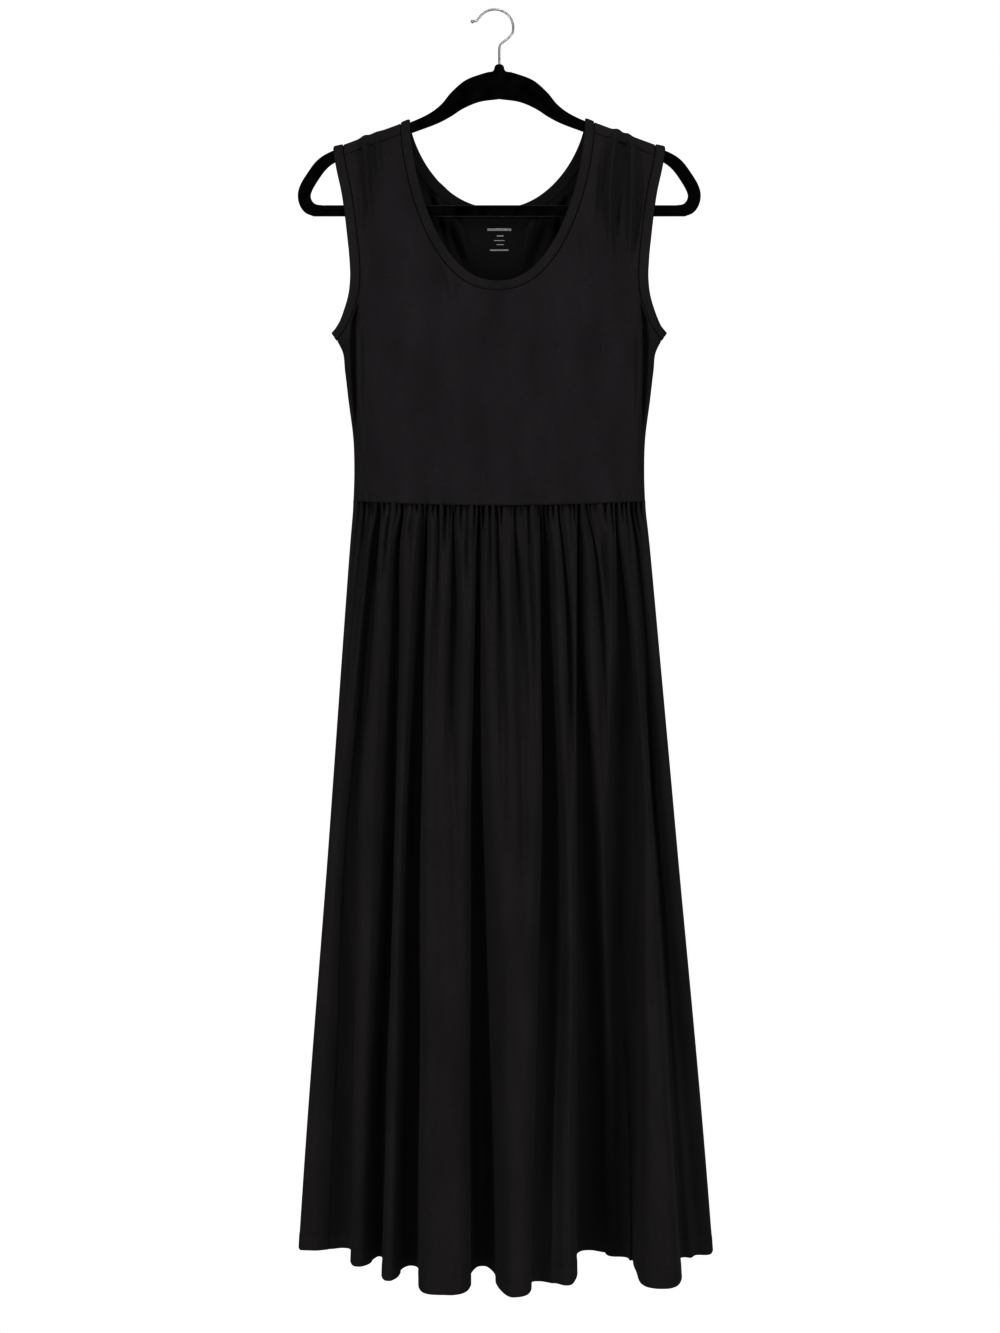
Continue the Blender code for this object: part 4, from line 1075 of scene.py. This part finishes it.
def binding_section(gap):
    """Outline of a binding across its seam: a turned strip with a stitch groove near the seam."""
    low, high = -PROUD, -PROUD + BINDING_THICK
    far = gap + BINDING_WIDTH
    groove = gap + BINDING_STITCH
    return np.array([
        (-1.0, low - 0.4), (gap + 0.3, low - 0.65), (gap + 1.4, low - 0.1), (gap + 2.3, low - 0.6),
        (gap + 3.5, low + 0.1), (gap + 4.8, low - 0.1), (far - 1.2, low + 0.1), (far - 0.3, low + 0.45),
        (far + 0.25, 0.5 * (low + high)), (far - 0.15, high - 0.55), (far - 0.9, high - 0.12),
        (far - 3.0, high + 0.1), (gap + 6.1, high), (gap + 5.5, high - 0.3), (gap + 4.9, high),
        (groove + 1.7, high),
        (groove + 0.8, high - 0.2), (groove, high - 0.7), (groove - 0.6, high - 0.3),
        (gap + 0.9, high - 0.4), (gap + 0.6, high - 1.2), (gap + 0.55, low + 0.05), (-1.0, low),
    ])


def binding_frames(edge, flip):
    """Fine stations along a closed edge: points, directions away from the panel and out of it."""
    turn = -1.0 if flip else 1.0
    points, normals = edge[:, 0], edge[:, 1]
    step = unit(np.roll(points, -1, axis=0) - points)
    ahead = unit(step + np.roll(step, 1, axis=0))
    away = unit(np.cross(normals, ahead) * turn)
    up = np.cross(ahead, away) * turn
    steps = 4 // DETAIL
    fine = spline(points, steps, closed=True)
    return fine, unit(spline(away, steps, closed=True)), unit(spline(up, steps, closed=True))


def binding_piece(name, edge, gap, flip, material, node, seed):
    """A binding round an edge, and the line of its stitches."""
    fine, away, up = binding_frames(edge, flip)
    section = binding_section(gap)
    run = walked(fine)
    ripple = sum(uneven(seed + number, waves, run) for number, waves in enumerate(BINDING_WAVES))
    swell = smooth_step(0.0, BINDING_THICK, section[:, 1] + PROUD)
    height = section[:, 1] + ripple[:, None] * swell
    rings = fine[:, None] + away[:, None] * section[:, :1] + up[:, None] * height[..., None]
    count, sides = height.shape
    numbers = np.pad(np.arange(count * sides).reshape(count, sides), (0, 1), "wrap")
    mesh = new_mesh(name, rings, grid_quads(numbers, flip))
    add_uv(mesh, np.stack(np.broadcast_arrays(section[:, 0], run[:, None]), axis=-1).reshape(-1, 2))
    # faces inside the garment take the binding's darker copy: painted shade
    inside = np.broadcast_to(np.arange(sides) < INSIDE_POINTS, height.shape)
    mesh.polygons.foreach_set("material_index", inside.astype(np.int32).ravel())
    mesh.shade_smooth()
    across, out = section[STITCH_POINT]
    line = fine + away * across + up * (out + THREAD_LIFT)
    return new_object(name, mesh, material, [node]), (line, up)


def along_line(places, run, values):
    return np.stack([np.interp(places, run, column) for column in values.T], axis=-1)


def stitches(name, lines, thread, material):
    """Rows of threads. Each line is its points and the cloth's normals there."""
    turn = 2.0 * math.pi * np.arange(THREAD_SIDES) / THREAD_SIDES
    girths = 0.5 * thread.thick * THREAD_GIRTHS[:, None]
    form = np.stack(np.broadcast_arrays(thread.length * THREAD_SHARES[:, None], girths * np.cos(turn),
                                        girths * np.sin(turn) + THREAD_SINKS[:, None]), axis=-1)
    points, quads, total = [], [], 0
    for path, normals in lines:
        run = walked(path)
        centres = np.arange(0.5 * thread.pitch, run[-1] - 0.5 * thread.pitch, thread.pitch)
        at = along_line(centres, run, path)
        ahead = unit(along_line(centres + 0.5, run, path) - at)
        beside = unit(np.cross(ahead, unit(along_line(centres, run, normals))))
        directions = np.stack([ahead, beside, np.cross(beside, ahead)], axis=1)
        points.append((at[:, None] + form.reshape(-1, 3) @ directions).reshape(-1, 3))
        numbers = np.arange(len(points[-1])).reshape(-1, len(THREAD_SHARES), THREAD_SIDES) + total
        quads.append(grid_quads(np.concatenate([numbers, numbers[..., :1]], axis=-1)))
        total += len(points[-1])
    mesh = new_mesh(name, np.concatenate(points), np.concatenate(quads))
    mesh.shade_smooth()
    return new_object(name, mesh, material)


def hem_lines(grid, facing):
    """The twin-needle lines on a skirt's outer face."""
    down, turned = skirt_rows()
    heights = (1.0 - down[~turned]) * SKIRT_LENGTH
    lines = []
    for height in HEM_STITCHES:
        row = grid[int(np.argmin(np.abs(heights - height)))]
        ahead = np.gradient(row, axis=0)
        normals = unit(np.stack([ahead[:, 1], -ahead[:, 0], np.zeros(len(row))], -1) * facing)
        lines.append((row + normals * (0.5 * WALL + 0.05), normals))
    return lines


# ---------------------------------------------------------------- the pieces

def make_bodice(jersey):
    front = [bodice_half(FRONT, side) for side in (-1, 1)]
    back = []
    for (front_grid, _), (grid, under) in zip(front, [bodice_half(BACK, side) for side in (-1, 1)]):
        back.append((np.concatenate([grid, shoulder_flap(grid[-1], front_grid[-1])]), under))
    return (bodice_piece("front_bodice_jersey", front, 1, jersey, "bodice_front"),
            bodice_piece("back_bodice_jersey", back, -1, jersey, "bodice_back"))


def make_bindings(cloth, thread):
    """The neck's binding and the two armholes', with the rows of stitches on them."""
    made = []
    for name, node, edge, gap, flip, seed in (
            ("neckline", "neck_binding", neckline(), NECK_GAP, False, 31),
            ("left_armhole", "armhole_binding_left", armhole(-1), ARMHOLE_GAP, False, 41),
            ("right_armhole", "armhole_binding_right", armhole(1), ARMHOLE_GAP, True, 51)):
        piece, line = binding_piece(f"{name}_binding", edge, gap, flip, cloth, node, seed)
        made += [piece, stitches(f"{name}_stitches", [line], BINDING_THREAD, thread)]
    return made


def make_skirts(jersey, thread):
    """Each skirt panel with the stitches of its hem."""
    made = []
    for skirt in (FRONT_SKIRT, BACK_SKIRT):
        name, facing = skirt.panel.column, skirt.panel.facing
        grid, length = skirt_grid(skirt)
        cloth = skirt_piece(f"{name}_skirt_jersey", grid, length, facing, jersey, f"skirt_{name}")
        made.append((cloth, stitches(f"{name}_hem_stitches", hem_lines(grid, facing), HEM_THREAD, thread)))
    return made


def make_print(ink):
    """Plain bars on the inside of the back panel, where the maker's print is."""
    points, quads = [], []
    count = PRINT_ROWS * PRINT_COLUMNS
    for bar in PRINT_BARS:
        x, z = np.meshgrid(bar.x + bar.width * np.linspace(-0.5, 0.5, PRINT_COLUMNS),
                           bar.z + bar.height * np.linspace(-0.5, 0.5, PRINT_ROWS))
        depth = bodice_depth(BACK, x, z) - 0.5 * WALL
        numbers = np.arange(count).reshape(x.shape) + len(points) * count
        points += [np.stack([x, depth + lift, z], axis=-1) for lift in PRINT_LIFTS]
        rim = np.concatenate([numbers[0], numbers[1:, -1], numbers[-1, -2::-1], numbers[-2:0:-1, 0]])
        ahead = np.roll(rim, -1)
        quads += [grid_quads(numbers), grid_quads(numbers + count),
                  np.stack([rim, ahead, ahead + count, rim + count], axis=-1)]
    mesh = new_mesh("neck_print_bars", points, np.concatenate(quads))
    return new_object("neck_print_bars", mesh, ink)


def new_curve(name, dimensions, bevel):
    curve = bpy.data.curves.new(name, "CURVE")
    curve.dimensions = dimensions
    curve.bevel_depth = bevel
    curve.bevel_resolution = 4
    return curve


def add_path(curve, places):
    path = curve.splines.new("POLY")
    path.points.add(len(places) - 1)
    for point, place in zip(path.points, places):
        point.co = (*place, 1.0)
    return path


def make_hanger(velvet):
    """The flat hanger with rounded edges, from its outlines."""
    curve = new_curve("velvet_hanger", "2D", MM * HANGER_EDGE)
    curve.fill_mode = "BOTH"
    curve.extrude = MM * (0.5 * HANGER_THICK - HANGER_EDGE)
    curve.offset = -MM * HANGER_EDGE
    for half in (HANGER_OUTSIDE, HANGER_INSIDE):
        right = [tuple(p) for p in spline(half, 6)]
        outline = right + [(-x, z) for x, z in reversed(right) if x > 0.01]
        path = add_path(curve, [(MM * (x + GARMENT_X), MM * z, 0.0) for x, z in outline])
        path.use_cyclic_u = True
    made = in_scene("hanger_outline", curve)
    made.rotation_euler = (0.5 * math.pi, 0.0, 0.0)
    bpy.context.view_layer.update()
    mesh = bpy.data.meshes.new_from_object(made.evaluated_get(bpy.context.evaluated_depsgraph_get()))
    mesh.transform(made.matrix_world)
    mesh.materials.clear()
    bpy.data.objects.remove(made)
    mesh.shade_smooth()
    mesh.set_sharp_from_angle(angle=math.radians(45.0))
    return new_object("velvet_hanger", mesh, velvet, ["hanger_body"])


def make_hook(chrome):
    """The wire of the hook, from its stem round the crown to its ball end."""
    cx, cz = HOOK_CENTRE
    turns = [math.radians(angle) for angle in range(-18, 151, 12)]
    crown = [(cx + HOOK_RADIUS * math.cos(turn), cz + HOOK_RADIUS * math.sin(turn)) for turn in turns]
    route = [tuple(p) for p in spline(HOOK_STEM + crown + HOOK_TIP, 4)]
    radii = [0.5 * HOOK_WIRE] * len(route)
    end_x, end_z = route[-1]
    for angle in range(20, 176, 12):
        turn = math.radians(angle)
        route.append((end_x - HOOK_BALL * (0.5 - 0.5 * math.cos(turn)), end_z - 0.2))
        radii.append(max(0.5 * HOOK_BALL * math.sin(turn), 0.2))
    curve = new_curve("wire_hook", "3D", MM)
    curve.use_fill_caps = True
    path = add_path(curve, [(MM * (x + GARMENT_X), 0.0, MM * z) for x, z in route])
    for point, radius in zip(path.points, radii):
        point.radius = radius
    path.use_smooth = True
    return new_object("wire_hook", curve, chrome, ["hanger_hook"])


# ---------------------------------------------------------------- studio

def make_stage():
    """A plain pale floor under the hanging dress. It ends before the photograph's view reaches it."""
    near, far, side, floor_z = -4.0, 1.35, 4.0, -2.0
    mesh = bpy.data.meshes.new("floor")
    corners = [(-side, near, floor_z), (side, near, floor_z), (side, far, floor_z), (-side, far, floor_z)]
    mesh.from_pydata(corners, [], [(0, 1, 2, 3)])
    made, tree, shader = new_material("studio_floor", grey(0.8), 0.8)
    mottle(tree, shader, noise(tree, object_place(tree), 3.0, 2.0), grey(0.78), grey(0.82))
    mesh.materials.append(made)
    in_scene("floor", mesh)


def area_light(light):
    data = bpy.data.lights.new(light.name, "AREA")
    data.shape = "RECTANGLE"
    data.size, data.size_y = light.size
    data.energy = light.energy
    made = in_scene(light.name, data)
    made.location = light.place
    made.rotation_euler = (Vector(light.aim) - Vector(light.place)).to_track_quat("-Z", "Y").to_euler()


def make_light():
    world = bpy.data.worlds.new("studio")
    bpy.context.scene.world = world
    world.use_nodes = True
    background = world.node_tree.nodes["Background"]
    background.inputs["Color"].default_value = (1.0, 1.0, 1.0, 1.0)
    background.inputs["Strength"].default_value = 1.0
    for light in LIGHTS:
        area_light(light)
    view = bpy.context.scene.view_settings
    view.view_transform = "Standard"
    view.look = "None"
    view.exposure = 0.0
    view.gamma = 0.58


def make_camera():
    """Level camera at the photograph's place, centred on the picture."""
    width, height = PICTURE
    x = (0.5 * width - HOOK_PIXEL[0]) * PIXEL * MM
    z = -(0.5 * height - HOOK_PIXEL[1]) * PIXEL * MM
    data = bpy.data.cameras.new("camera")
    data.sensor_fit = "VERTICAL"
    data.sensor_height = SENSOR
    data.sensor_width = SENSOR
    data.lens = SENSOR * CAMERA_DISTANCE / (height * PIXEL)
    camera = in_scene("camera", data)
    camera.location = (x, -CAMERA_DISTANCE * MM, z)
    camera.rotation_euler = (0.5 * math.pi, 0.0, 0.0)
    bpy.context.scene.camera = camera


make_camera()
# the second material of each pair is a darker copy for the wrong side: painted shade
jersey_cloth = [jersey_material("jersey", OUTSIDE_TONES), jersey_material("jersey_inside_painted_shade", SHADED_INSIDE_TONES)]
binding_cloth = [jersey_material("binding", OUTSIDE_TONES),
                 jersey_material("binding_inside_painted_shade", SHADED_BINDING_INSIDE_TONES)]
sewing_thread = thread_material()
front_bodice, back_bodice = make_bodice(jersey_cloth)
binding_pieces = make_bindings(binding_cloth, sewing_thread)
skirt_pieces = make_skirts(jersey_cloth, sewing_thread)
print_bars = make_print(ink_material())
hanger = make_hanger(velvet_material())
make_hook(chrome_material())
make_stage()
make_light()
